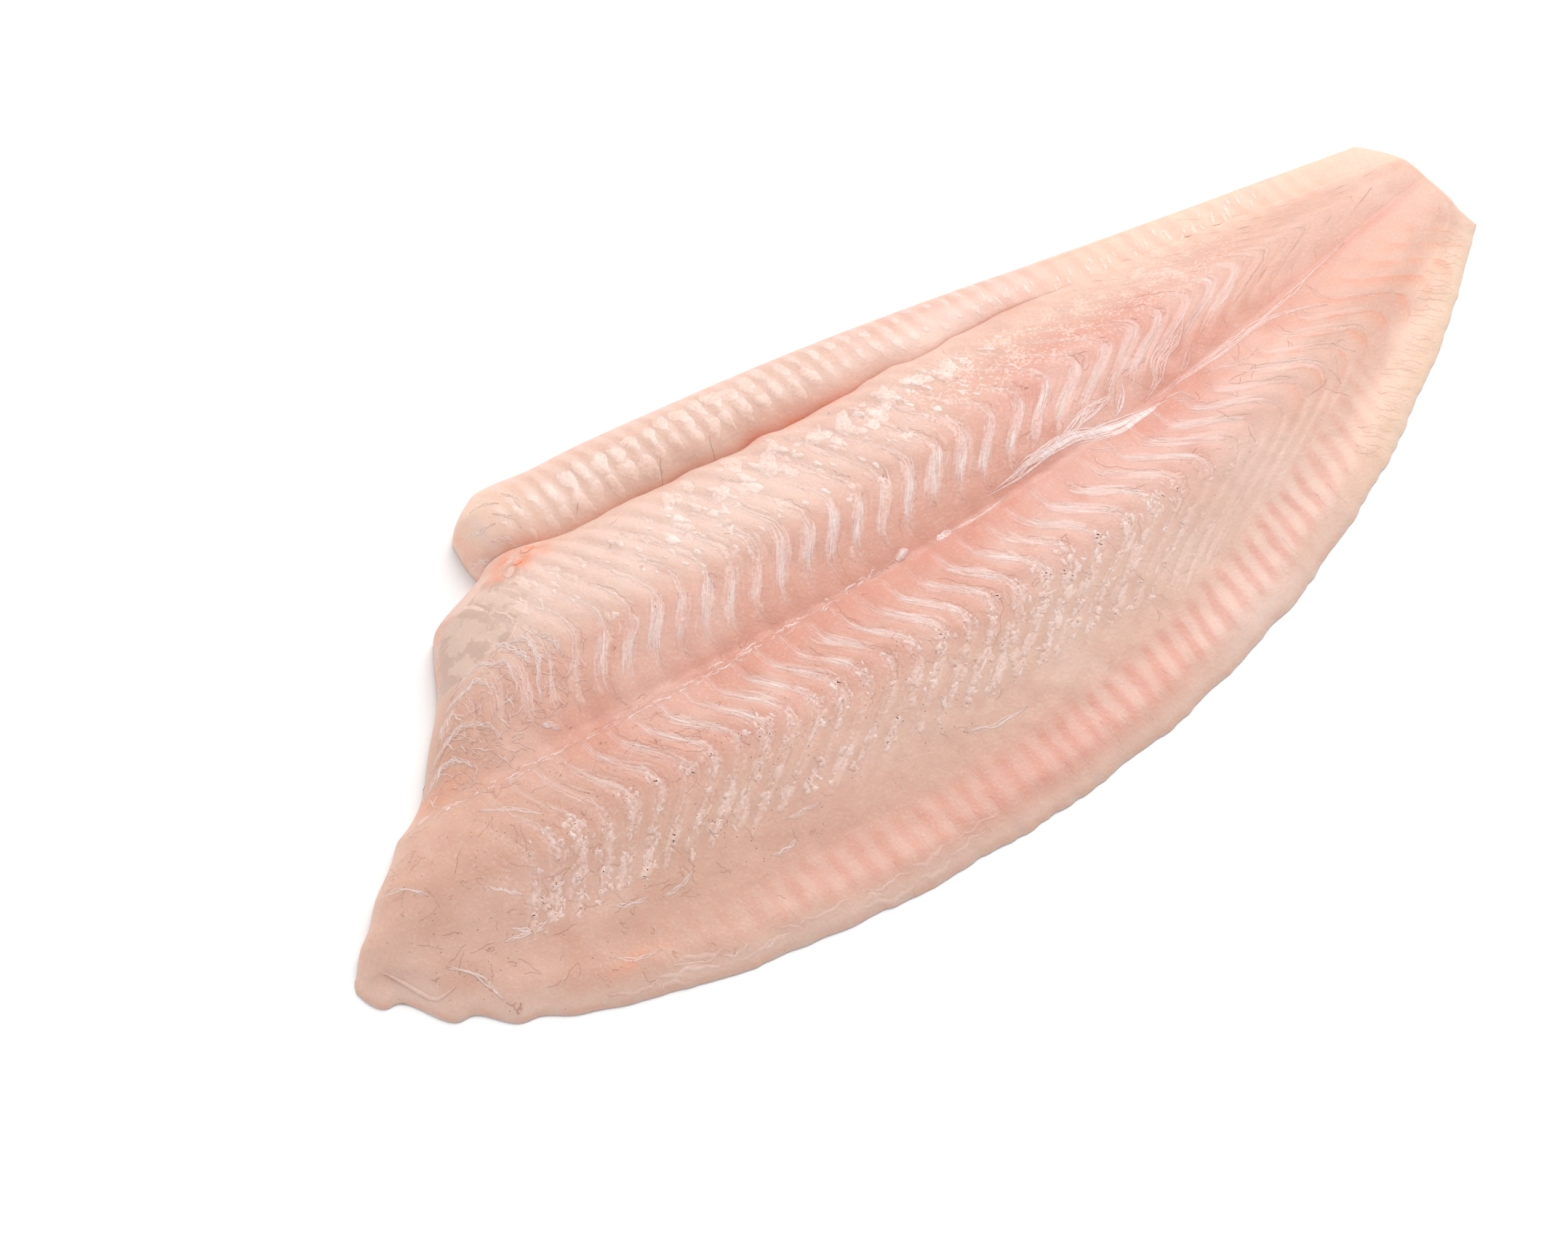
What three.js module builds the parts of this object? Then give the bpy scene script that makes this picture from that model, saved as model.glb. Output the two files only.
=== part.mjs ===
// A headless, skinned sole fillet, lying on its flat bone side with the outer side up.
//
// Millimetres, +Z up. X runs along the fish from the head cut to the tail cut, Y runs
// across it towards the rolled fin edge, and the origin is the middle of the footprint,
// on the plane that the fillet rests on.
//
// The fillet is one closed solid. Its upper side is a grid of lines: `station` runs
// along the fish, and `across` runs from the lower rim (-1) over the midline (0) and
// the groove (GROOVE_ACROSS) to the rim of the roll (1). The lines along the body fold
// like the seams between the muscle flakes, so the seams are edges of the grid.
import * as THREE from "three";

// ---- Driving dimensions -------------------------------------------------------------
const LENGTH = 231.5; // lower head corner to tail cut
const BELLY_HALF_WIDTH = 58.5; // reference line to the lower rim, where it is widest
const ROLL_HALF_WIDTH = 40.6; // reference line to the rim of the roll, where it is widest
const UPPER_LOBE_HEIGHT = 12.2;
const LOWER_LOBE_HEIGHT = 10.2;
const ROLL_HEIGHT = 10.8;
const SEAM_PITCH = 4.6; // from one muscle seam to the next, along the fish

// ---- Outline, worked out from those -------------------------------------------------
const BELLY_STATION = 0.445 * LENGTH; // where the lower rim is furthest out
const CORNER_Y = -0.37 * BELLY_HALF_WIDTH; // the pointed lower corner of the head cut
const TAIL_LOW_Y = -0.205 * BELLY_HALF_WIDTH; // the pointed lower corner of the tail cut
const TAIL_HIGH_Y = 0.335 * ROLL_HALF_WIDTH;
const BELLY_HEAD_POWER = 0.61;
const BELLY_TAIL_POWER = 2.05;
const ROLL_RIM_STATION = 0.337 * LENGTH; // the roll's rim starts to draw in here
const ROLL_RIM_POWER = 1.22;

const MID_START = 0.08 * LENGTH; // where the midline meets the head cut
const MID_OFFSET = -3;
const MID_SAG = 9.5; // how far the midline bows towards the belly
const MID_TAIL_RISE = 3;

const GROOVE_ACROSS = 0.6;
const GROOVE_Y = 25;
const GROOVE_DRIFT = 6.2; // how far it nears the midline on the way to the tail
const GROOVE_TAIL_DROP = 13;
const NOTCH_RISE = 4.5; // the groove turns outwards where it opens at the notch
const NOTCH_STATION = 0.23 * LENGTH;

const CUT_REACH = 25.5; // how far the upper head cut runs back from the midline
const NOTCH_REACH = 12; // and how much further the notch bites
const ROLL_SLANT = 1.5; // the roll's own end slants back to its rim by this much
const ROLL_CORNER = 6; // and its outer corner is rounded by this much
const CUT_SPREAD = 130; // length over which the lines straighten behind the head cut
const TAIL_ROUNDING = 5; // the tail cut's upper corner is rounded by this much
const TAIL_SPREAD = 45;

// ---- Heights --------------------------------------------------------------------------
const VALLEY_SHARE = 0.8; // the midline valley, as a share of the lower lobe
const FRILL_HEIGHT = 2.6; // the thin fin edge
const TAIL_HEIGHT = 2.1;
const TAIL_RIM_HEIGHT = 1.4;
const GROOVE_FLOOR = 3;
const HEAD_SHARE = 0.56; // the lobes' height at the head cut, as a share of the full one
const ROUNDING_SHARE = 0.9; // a rim is rounded over this share of the height beside it
const SEAM_RELIEF = 0.14; // the flakes stand up this much between seams
const FRILL_RELIEF = 0.12;

// ---- Small irregularities of a knife cut and of the torn fin edge -----------------------
const CUT_WAVE = 0.5;
const RIM_WAVE = 0.3;
const TORN_REACH = 17; // the lower rim is torn inwards this far from the head corner
const TORN_DEPTH = 2.5;
const TORN_WAVE = 1.6;
const TORN_PITCH = 7.6;
const BULB_STATION = 0.28 * LENGTH; // the roll's end swells outwards here
const BULB_REACH = 7;
const BULB_RISE = 1.7;

const clamp = (x, low = 0, high = 1) => Math.min(Math.max(x, low), high);
const ease = (x) => THREE.MathUtils.smoothstep(x, 0, 1);
const mix = THREE.MathUtils.lerp;

// ---- The four lines that the lobes hang between, at a distance x along the fish ----------
function lowerRim(x) {
  const wave = RIM_WAVE * Math.sin(x * 0.31) * Math.sin(x * 0.083 + 1);
  if (x < BELLY_STATION) {
    const t = clamp(1 - x / BELLY_STATION);
    return mix(CORNER_Y, -BELLY_HALF_WIDTH, (1 - t * t) ** BELLY_HEAD_POWER) + wave;
  }
  const t = clamp((x - BELLY_STATION) / (LENGTH - BELLY_STATION));
  return mix(-BELLY_HALF_WIDTH, TAIL_LOW_Y, t ** BELLY_TAIL_POWER) + wave;
}

// The torn stretch of the lower rim: how far it is drawn inwards.
function tear(x) {
  const depth = TORN_DEPTH + TORN_WAVE * Math.cos((2 * Math.PI * (x - 4.6)) / TORN_PITCH);
  return depth * Math.exp(-((x / TORN_REACH) ** 2));
}

function midline(x) {
  const t = clamp((x - MID_START) / (LENGTH - MID_START));
  const rise = MID_TAIL_RISE * ease((x - 0.66 * LENGTH) / (0.32 * LENGTH));
  return MID_OFFSET - MID_SAG * Math.sin(Math.PI * t) ** 1.2 + rise;
}

function groove(x) {
  const drift = GROOVE_DRIFT * ease((x - NOTCH_STATION) / (0.39 * LENGTH));
  const drop = GROOVE_TAIL_DROP * clamp((x - 0.66 * LENGTH) / (0.34 * LENGTH)) ** 1.3;
  const mouth = NOTCH_RISE * (1 - ease((x - NOTCH_STATION) / 20));
  return GROOVE_Y - drift - drop + mouth;
}

function upperRim(x) {
  const t = clamp((x - ROLL_RIM_STATION) / (0.971 * LENGTH - ROLL_RIM_STATION), 0, 1.1);
  const bulb = BULB_RISE * Math.exp(-(((x - BULB_STATION) / BULB_REACH) ** 2));
  return ROLL_HALF_WIDTH - (ROLL_HALF_WIDTH - TAIL_HIGH_Y) * t ** ROLL_RIM_POWER + bulb;
}

// ---- The two cut ends, as a distance along the fish at a place across it ------------------
function headCut(across) {
  const wave = CUT_WAVE * Math.sin(across * 23);
  if (across < 0) {
    return MID_START * (1 + across) ** 2.43 - wave * (1 + across) ** 2;
  }
  const body = MID_START + CUT_REACH * clamp(across / 0.5) ** 0.72;
  const notch = NOTCH_REACH * ease((across - 0.5) / 0.1);
  const out = clamp((across - GROOVE_ACROSS) / (1 - GROOVE_ACROSS));
  const corner = ROLL_CORNER * clamp((out - 0.6) / 0.4) ** 3;
  return body + notch + ROLL_SLANT * out + corner + wave * (1 - across);
}

function tailCut(across) {
  return LENGTH - TAIL_ROUNDING * clamp((across - 0.55) / 0.45) ** 1.6;
}

// How far a seam runs tailwards at a place across the fish: it leaves the midline
// square, turns to the tail on the flank of the lobe, and folds back beyond its crest.
const UPPER_FOLD = { turn: 0.1, crest: 0.45, reach: 6, back: 8.4, end: 0.86 };
const LOWER_FOLD = { turn: 0.1, crest: 0.35, reach: 5.6, back: 14, end: 0.58 };

function seamFold(across) {
  const fold = across > 0 ? UPPER_FOLD : LOWER_FOLD;
  const out = across > 0 ? across / GROOVE_ACROSS : -across;
  const forward = fold.reach * ease((out - fold.turn) / (fold.crest - fold.turn));
  const behind = fold.back * clamp((out - fold.crest) / (fold.end - fold.crest));
  const straighten = 1 - ease((out - fold.end) / (1 - fold.end));
  return (forward - behind) * straighten;
}

function planPoint(station, across) {
  const offsetHead = headCut(across) - MID_START;
  const offsetTail = tailCut(across) - LENGTH;
  const nearHead = clamp(1 - (station - MID_START) / CUT_SPREAD) ** 2;
  const nearTail = clamp(1 - (LENGTH - station) / TAIL_SPREAD) ** 2;
  const inside = ease((station - MID_START) / 45) * ease((LENGTH - station) / 45);
  const x = station + offsetHead * nearHead + offsetTail * nearTail + seamFold(across) * inside;
  let y;
  if (across < 0) {
    y = mix(midline(x), lowerRim(x), -across) + tear(x) * across ** 8;
  } else if (across < GROOVE_ACROSS) {
    y = mix(midline(x), groove(x), across / GROOVE_ACROSS);
  } else {
    y = mix(groove(x), upperRim(x), (across - GROOVE_ACROSS) / (1 - GROOVE_ACROSS));
  }
  return new THREE.Vector2(x, y);
}

// ---- Heights --------------------------------------------------------------------------------
// A height along the fish: it starts at `head`, is `middle` over the body, ends at `tail`.
function along(x, head, middle, tail) {
  const rise = ease(x / 75);
  const fall = ease((x - 120) / 130);
  return mix(mix(head, middle, rise), tail, fall);
}

function lowerLobe(x, out) {
  const crest = along(x, HEAD_SHARE * LOWER_LOBE_HEIGHT, LOWER_LOBE_HEIGHT, TAIL_HEIGHT);
  const valley = along(x, 0.45 * LOWER_LOBE_HEIGHT, VALLEY_SHARE * LOWER_LOBE_HEIGHT, 1.9);
  const frill = along(x, 2.4, FRILL_HEIGHT, TAIL_RIM_HEIGHT);
  const flank = 1 - (1 - clamp(out / 0.28)) ** 1.7;
  return mix(valley, crest, flank) - (crest - frill) * ease((out - 0.25) / 0.58);
}

function grooveDepth(x) {
  return ease((0.77 * LENGTH - x) / 44);
}

function grooveFloor(x) {
  return mix(along(x, 3, 4, 1.8), along(x, GROOVE_FLOOR, GROOVE_FLOOR, 1.8), grooveDepth(x));
}

function upperLobe(x, out) {
  const crest = along(x, 0.54 * UPPER_LOBE_HEIGHT, UPPER_LOBE_HEIGHT, TAIL_HEIGHT);
  const valley = along(x, 0.45 * LOWER_LOBE_HEIGHT, VALLEY_SHARE * LOWER_LOBE_HEIGHT, 1.9);
  const dome = mix(valley, crest, 1 - (1 - clamp(out / 0.6)) ** 1.7);
  const bank = clamp((out - 0.72) / 0.28);
  const steep = mix(GROOVE_FLOOR, dome, Math.sqrt(Math.max(1 - bank ** 2.2, 0)));
  const gentle = dome - (crest - along(x, 3, 4, 1.8)) * ease((out - 0.45) / 0.55);
  return mix(gentle, steep, grooveDepth(x));
}

function roll(x, out) {
  const swell = ease((0.9 * LENGTH - x) / 90);
  const crest = mix(1.6, along(x, ROLL_HEIGHT, 0.83 * ROLL_HEIGHT, 1.5), swell);
  const inner = Math.sqrt(Math.max(1 - (1 - clamp(2 * out)) ** 2, 0));
  return mix(grooveFloor(x), crest, inner);
}

function bodyHeight(x, across) {
  if (across < 0) return lowerLobe(x, -across);
  if (across < GROOVE_ACROSS) return upperLobe(x, across / GROOVE_ACROSS);
  return roll(x, (across - GROOVE_ACROSS) / (1 - GROOVE_ACROSS));
}

// Every second line lies in a seam, and the lines between them stand proud of it.
function seamRelief(across, isSeam) {
  const size = across < -0.72 || across > GROOVE_ACROSS ? FRILL_RELIEF : SEAM_RELIEF;
  return isSeam ? -size : size;
}

// ---- The grid's lines ---------------------------------------------------------------------
// Lines along a span: close together at both ends, for the rounded rims, and even between.
function lineList(start, end, ends, count) {
  const first = start + ends[ends.length - 1];
  const last = end - ends[ends.length - 1];
  const body = Array.from({ length: count + 1 }, (_, i) => mix(first, last, i / count));
  const lead = ends.slice(0, -1).map((step) => start + step);
  const trail = ends.slice(0, -1).map((step) => end - step).reverse();
  return [start, ...lead, ...body, ...trail, end];
}

const END_STEPS = [0.5, 1.3, 2.6, 4.4];
const BODY_LINES = 2 * Math.round((LENGTH - MID_START - 2 * END_STEPS.at(-1)) / SEAM_PITCH);
const stations = lineList(MID_START, LENGTH, END_STEPS, BODY_LINES);

// Across the fish the lines crowd at the rims, the midline and the groove's steep banks.
const spread = (from, to, shares) => shares.map((share) => mix(from, to, share));
const LOWER_SHARES = [
  1, 0.987, 0.965, 0.93, 0.88, 0.82, 0.75, 0.68, 0.6, 0.52, 0.44, 0.37, 0.31, 0.25, 0.19,
  0.13, 0.08, 0.035,
];
const UPPER_SHARES = [
  0, 0.04, 0.09, 0.15, 0.22, 0.29, 0.36, 0.42, 0.48, 0.55, 0.63, 0.71, 0.78, 0.84, 0.89,
  0.935, 0.975,
];
const ROLL_SHARES = [0, 0.05, 0.13, 0.23, 0.35, 0.48, 0.61, 0.73, 0.83, 0.91, 0.965, 1];
const acrosses = [
  ...spread(0, -1, LOWER_SHARES),
  ...spread(0, GROOVE_ACROSS, UPPER_SHARES),
  ...spread(GROOVE_ACROSS, 1, ROLL_SHARES),
];

// ---- The solid --------------------------------------------------------------------------------
function rimIndices(rows, columns) {
  const at = (row, column) => row * columns + column;
  const rim = [];
  for (let row = 0; row < rows; row++) rim.push(at(row, 0));
  for (let column = 1; column < columns; column++) rim.push(at(rows - 1, column));
  for (let row = rows - 2; row >= 0; row--) rim.push(at(row, columns - 1));
  for (let column = columns - 2; column > 0; column--) rim.push(at(0, column));
  return rim;
}

function distanceToRim(point, outline) {
  let nearest = Infinity;
  for (let i = 0; i < outline.length; i++) {
    const a = outline[i];
    const b = outline[(i + 1) % outline.length];
    const side = b.clone().sub(a);
    const t = clamp(point.clone().sub(a).dot(side) / side.lengthSq());
    nearest = Math.min(nearest, point.distanceTo(a.clone().addScaledVector(side, t)));
  }
  return nearest;
}

// A rim is a quarter round: the height falls from full at `radius` in, to nothing at it.
function rounded(height, distance) {
  const inward = clamp(distance / (ROUNDING_SHARE * height));
  return height * Math.sqrt(1 - (1 - inward) ** 2);
}

function filletGeometry() {
  const rows = stations.length;
  const columns = acrosses.length;
  const plan = stations.flatMap((station) => acrosses.map((v) => planPoint(station, v)));
  const rim = rimIndices(rows, columns);
  const onRim = new Set(rim);
  const outline = rim.map((index) => plan[index]);

  const heights = plan.map((point, index) => {
    if (onRim.has(index)) return 0;
    const across = acrosses[index % columns];
    const line = Math.floor(index / columns) - END_STEPS.length;
    const onBody = line >= 0 && line <= BODY_LINES;
    const relief = onBody ? seamRelief(across, line % 2 === 0) : 0;
    return rounded(bodyHeight(point.x, across) + relief, distanceToRim(point, outline));
  });

  const footprint = new THREE.Box2().setFromPoints(outline);
  const middle = footprint.getCenter(new THREE.Vector2());
  const positions = plan.flatMap((point, index) => [
    point.x - middle.x,
    point.y - middle.y,
    heights[index],
  ]);

  const triangles = [];
  for (let row = 0; row < rows - 1; row++) {
    for (let column = 0; column < columns - 1; column++) {
      const a = row * columns + column;
      const b = a + columns;
      triangles.push(a, b, b + 1, a, b + 1, a + 1);
    }
  }
  for (const [i, j, k] of THREE.ShapeUtils.triangulateShape(outline, [])) {
    triangles.push(rim[i], rim[k], rim[j]);
  }

  const geometry = new THREE.BufferGeometry();
  geometry.setAttribute("position", new THREE.Float32BufferAttribute(positions, 3));
  geometry.setIndex(triangles);
  geometry.computeVertexNormals();
  return geometry;
}

const fleshMaterial = new THREE.MeshStandardMaterial({
  color: 0xf0cdbd,
  roughness: 0.4,
  metalness: 0,
});

const fillet = new THREE.Mesh(filletGeometry(), fleshMaterial);
fillet.name = "sole_fillet";

const part = new THREE.Group();
part.add(fillet);

export default part;
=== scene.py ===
"""A headless, skinned sole fillet: its lobes, rolled fin edge, flake seams, tissue and moist flesh."""

import logging
import math
from dataclasses import dataclass, replace
from enum import Enum
from typing import Optional, Sequence, Union

import bpy
import numpy as np
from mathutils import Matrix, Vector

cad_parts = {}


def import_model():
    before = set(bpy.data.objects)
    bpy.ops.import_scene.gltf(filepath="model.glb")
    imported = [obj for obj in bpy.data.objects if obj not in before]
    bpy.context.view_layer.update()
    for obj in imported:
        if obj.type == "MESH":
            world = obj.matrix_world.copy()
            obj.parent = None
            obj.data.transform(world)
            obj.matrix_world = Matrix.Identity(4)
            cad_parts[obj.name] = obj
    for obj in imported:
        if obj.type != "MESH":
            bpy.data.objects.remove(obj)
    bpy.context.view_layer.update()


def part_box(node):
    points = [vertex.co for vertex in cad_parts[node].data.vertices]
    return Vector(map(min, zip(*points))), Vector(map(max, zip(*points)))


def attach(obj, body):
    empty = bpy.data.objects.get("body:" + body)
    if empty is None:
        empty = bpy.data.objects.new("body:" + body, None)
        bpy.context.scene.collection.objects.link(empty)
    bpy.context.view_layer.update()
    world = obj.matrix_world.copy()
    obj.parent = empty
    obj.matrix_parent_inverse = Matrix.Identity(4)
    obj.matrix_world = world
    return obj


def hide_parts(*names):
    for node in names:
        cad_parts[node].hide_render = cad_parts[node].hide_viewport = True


log = logging.getLogger("sole")
Array = np.ndarray
Number = Union[int, float]
Span = tuple[float, float]
Pairs = tuple[tuple[float, float], ...]
Triple = tuple[float, float, float]
Trio = tuple[Array, Array, Array]
Amount = Union[Array, Number]
Term = Union["Wire", Number]
Chance = np.random.Generator
Piece = bpy.types.Object
Spots = tuple[tuple[float, float, float, float, float], ...]

MM = 0.001
NOISE_CELLS = 64
LEGS_AT_ONCE = 32
SOLVING_STEPS = 12
RIB_PITCH = 3.1
SHARP_ANGLE = math.radians(60)
CURVE_STEPS = 200
STATIONS_PER_CORNER = 12


# ---- Small curves that every shape uses ----
def clamp(x: Array, low: float = 0.0, high: float = 1.0) -> Array:
    """x held between low and high."""
    return np.clip(x, low, high)


def ease(t: Array) -> Array:
    """3t^2 - 2t^3 with t held between 0 and 1: a ramp that starts and ends level."""
    t = clamp(t)
    return t * t * (3 - 2 * t)


def mix(a: Array, b: Array, t: Array) -> Array:
    """a at t = 0, b at t = 1, and a straight line between them."""
    return a + (b - a) * t


def hill(x: Array, centre: float, reach: float) -> Array:
    """exp(-((x - centre) / reach)^2): a bump of height 1 at centre."""
    return np.exp(-(((x - centre) / reach) ** 2))


def window(x: Array, start: float, end: float, edge: float) -> Array:
    """1 between start and end, easing to 0 over edge on both sides."""
    return ease((x - start) / edge + 0.5) * ease((end - x) / edge + 0.5)


def soft_past(x: Array, start: float, rounding: float) -> Array:
    """f(x) - f(0), where f is (d + sqrt(d^2 + r^2)) / 2 for d = x - start: a ramp with a round corner."""
    past, at_zero = (0.5 * (d + np.sqrt(d * d + rounding * rounding)) for d in (x - start, -start))
    return past - at_zero


def value_noise(x: Array, y: Array, seed: int) -> Array:
    """Smooth noise between 0 and 1: random values on a unit grid, eased between its corners.

    Args:
        x: first coordinate, in grid cells.
        y: second coordinate, in grid cells.
        seed: which table of random values to read.

    Returns:
        The noise at each point.
    """
    n = NOISE_CELLS
    table = np.random.default_rng(seed).random((n, n))
    i, j = np.floor(x).astype(int), np.floor(y).astype(int)
    u, w = ease(x - i), ease(y - j)
    near, far = (mix(table[i % n, row % n], table[(i + 1) % n, row % n], u) for row in (j, j + 1))
    return mix(near, far, w)


def nearest_on_line(x: Array, y: Array, line: Array) -> Array:
    """How far points are from a closed broken line: the least distance to any of its straight legs.

    Args:
        x: points' first coordinate.
        y: points' second coordinate.
        line: the line's corners, one row each, the last of which joins the first.

    Returns:
        The distance of each point.
    """
    legs = np.roll(line, -1, axis=0) - line
    squares = np.maximum((legs**2).sum(1), 1e-12)
    px, py = np.ravel(x), np.ravel(y)
    nearest = np.full(px.shape, np.inf)
    for first in range(0, len(line), LEGS_AT_ONCE):
        a, leg, square = (part[first : first + LEGS_AT_ONCE] for part in (line, legs, squares))
        dx, dy = px[:, None] - a[:, 0], py[:, None] - a[:, 1]
        t = clamp((dx * leg[:, 0] + dy * leg[:, 1]) / square)
        gap = (dx - t * leg[:, 0]) ** 2 + (dy - t * leg[:, 1]) ** 2
        nearest = np.minimum(nearest, gap.min(1))
    return np.sqrt(nearest).reshape(np.shape(x))


# ---- The fillet's shape ----
@dataclass(frozen=True)
class FilletPlan:
    """The fillet seen from above, in mm: x from the head corner to the tail cut, y across it.

    A place on it is given by `station`, its distance along the fish at the lower head corner's
    zero, and `across`, which is -1 at the lower rim, 0 on the midline, `groove_across` in the
    groove and 1 at the rim of the roll. A name that ends in _share is a share of the length or,
    for a width, of the half width that it belongs to.
    """

    length: float = 231.5
    belly_half_width: float = 58.5
    roll_half_width: float = 40.6
    mid_start: float = 18.52
    groove_across: float = 0.6
    notch_station: float = 53.245
    belly_station_share: float = 0.445
    head_corner_share: float = 0.37
    tail_corner_share: float = 0.205
    thinning_share: float = 0.66
    roll_from_share: float = 0.337
    roll_to_share: float = 0.971
    roll_tail_share: float = 0.335
    bulb_share: float = 0.28
    bulb: float = 1.7
    rim_wave: float = 0.3
    rim_nicks: float = 0.4
    tear_depth: float = 2.5
    tear_wave: float = 1.6
    tear_pitch: float = 7.6
    midline_sag: float = 9.5
    groove_height: float = 25.0
    groove_drift: float = 6.2
    groove_drop: float = 13.0
    mouth_width: float = 4.5
    head_slant: float = 25.5
    notch_depth: float = 12.0
    tail_rounding: float = 5.0
    head_draw: float = 130.0
    tail_draw: float = 45.0

    def lower_rim(self, x: Array) -> Array:
        """A superellipse quarter from the head corner to the belly, then a power curve to the tail."""
        half, belly = self.belly_half_width, self.belly_station_share * self.length
        t = clamp(1 - x / belly)
        head_side = mix(-self.head_corner_share * half, -half, (1 - t * t) ** 0.61)
        t = clamp((x - belly) / (self.length - belly))
        tail_side = mix(-half, -self.tail_corner_share * half, t**2.05)
        wave = self.rim_wave * np.sin(x * 0.31) * np.sin(x * 0.083 + 1)
        nicks = self.rim_nicks * (value_noise(x / 1.4, 0 * x, 17) - 0.5) * ease((x - 20) / 30)
        return np.where(x < belly, head_side, tail_side) + wave + nicks

    def tear(self, x: Array) -> Array:
        """How far the torn lower rim is drawn in: a cosine wave that dies away from the head."""
        turns = 2 * np.pi * (x - 4.6) / self.tear_pitch
        return (self.tear_depth + self.tear_wave * np.cos(turns)) * hill(x, 0, 17)

    def midline(self, x: Array) -> Array:
        """A sine arch that sags towards the belly, with a gentle rise at the tail."""
        t = clamp((x - self.mid_start) / (self.length - self.mid_start))
        rise = 3 * ease((x - self.thinning_share * self.length) / (0.32 * self.length))
        return -3 - self.midline_sag * np.sin(np.pi * t) ** 1.2 + rise

    def groove(self, x: Array) -> Array:
        """Level at the notch, easing towards the midline, then dropping; it wavers along the belly."""
        past_notch, tail = x - self.notch_station, self.thinning_share * self.length
        drift = self.groove_drift * ease(past_notch / (0.39 * self.length))
        drop = self.groove_drop * clamp((x - tail) / (self.length - tail)) ** 1.3
        mouth = self.mouth_width * (1 - ease(past_notch / 20))
        waver = (value_noise(x / 4.2, 0 * x, 29) - 0.5) * window(x, 72, 146, 16)
        return self.groove_height - drift - drop + mouth + waver

    def upper_rim(self, x: Array) -> Array:
        """Level over the roll, a power curve down to the tail, and a bulb at the roll's end."""
        start, end = self.roll_from_share * self.length, self.roll_to_share * self.length
        t = clamp((x - start) / (end - start), 0, 1.1)
        drop = (1 - self.roll_tail_share) * self.roll_half_width * t**1.22
        return self.roll_half_width - drop + self.bulb * hill(x, self.bulb_share * self.length, 7)

    def head_cut(self, across: Array) -> Array:
        """Where the head cut lies along the fish: power curves from the midline to both corners."""
        wave = 0.5 * np.sin(across * 23)
        low = self.mid_start * clamp(1 + across) ** 2.43 - wave * (1 + across) ** 2
        out = clamp((across - self.groove_across) / (1 - self.groove_across))
        body = self.mid_start + self.head_slant * clamp(across / 0.5) ** 0.72
        notch = self.notch_depth * ease((across - 0.5) / 0.1)
        corner = 1.5 * out + 6 * clamp((out - 0.6) / 0.4) ** 3
        return np.where(across < 0, low, body + notch + corner + wave * (1 - across))

    def tail_cut(self, across: Array) -> Array:
        """Square to the fish, with its upper corner rounded by a power curve."""
        return self.length - self.tail_rounding * clamp((across - 0.55) / 0.45) ** 1.6

    def place(self, station: Array, across: Array) -> tuple[Array, Array]:
        """x is the station, drawn to the cuts near both ends; y lies between the long lines.

        Args:
            station: distance along the fish, from mid_start to length.
            across: place across the fish, from -1 to 1.

        Returns:
            x and y in mm.
        """
        near_head = clamp(1 - (station - self.mid_start) / self.head_draw) ** 2
        near_tail = clamp(1 - (self.length - station) / self.tail_draw) ** 2
        x = station + (self.head_cut(across) - self.mid_start) * near_head
        x = x + (self.tail_cut(across) - self.length) * near_tail
        mid, groove, g = self.midline(x), self.groove(x), self.groove_across
        lower = mix(mid, self.lower_rim(x), -across) + self.tear(x) * across**8
        upper = mix(mid, groove, across / g)
        roll = mix(groove, self.upper_rim(x), (across - g) / (1 - g))
        return x, np.where(across < 0, lower, np.where(across < g, upper, roll))

    def locate(self, x: Array, y: Array) -> tuple[Array, Array]:
        """The station and across of points given by x and y: place() solved by repeated steps."""
        station, across = x.copy(), np.zeros_like(x)
        for _ in range(SOLVING_STEPS):
            mid, groove = self.midline(x), self.groove(x)
            low = (y - mid) / (mid - self.lower_rim(x))
            high = self.groove_across * (y - mid) / (groove - mid)
            out = (y - groove) / (self.upper_rim(x) - groove)
            roll = self.groove_across + (1 - self.groove_across) * out
            across = clamp(np.where(y < mid, low, np.where(y < groove, high, roll)), -1, 1)
            station = station + x - self.place(station, across)[0]
            station = clamp(station, self.mid_start, self.length)
        return station, across

    def outline(self, stations: Array, acrosses: Array) -> Array:
        """The rim as one closed line, taken round the edge of the grid of places."""
        low, high = np.full_like(stations, -1), np.full_like(stations, 1)
        head, tail = np.full_like(acrosses, stations[0]), np.full_like(acrosses, stations[-1])
        edges = [
            self.place(stations, low),
            self.place(tail[1:], acrosses[1:]),
            self.place(stations[-2::-1], high[1:]),
            self.place(head[1:-1], acrosses[-2:0:-1]),
        ]
        return np.concatenate([np.stack(edge, 1) for edge in edges])


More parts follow.
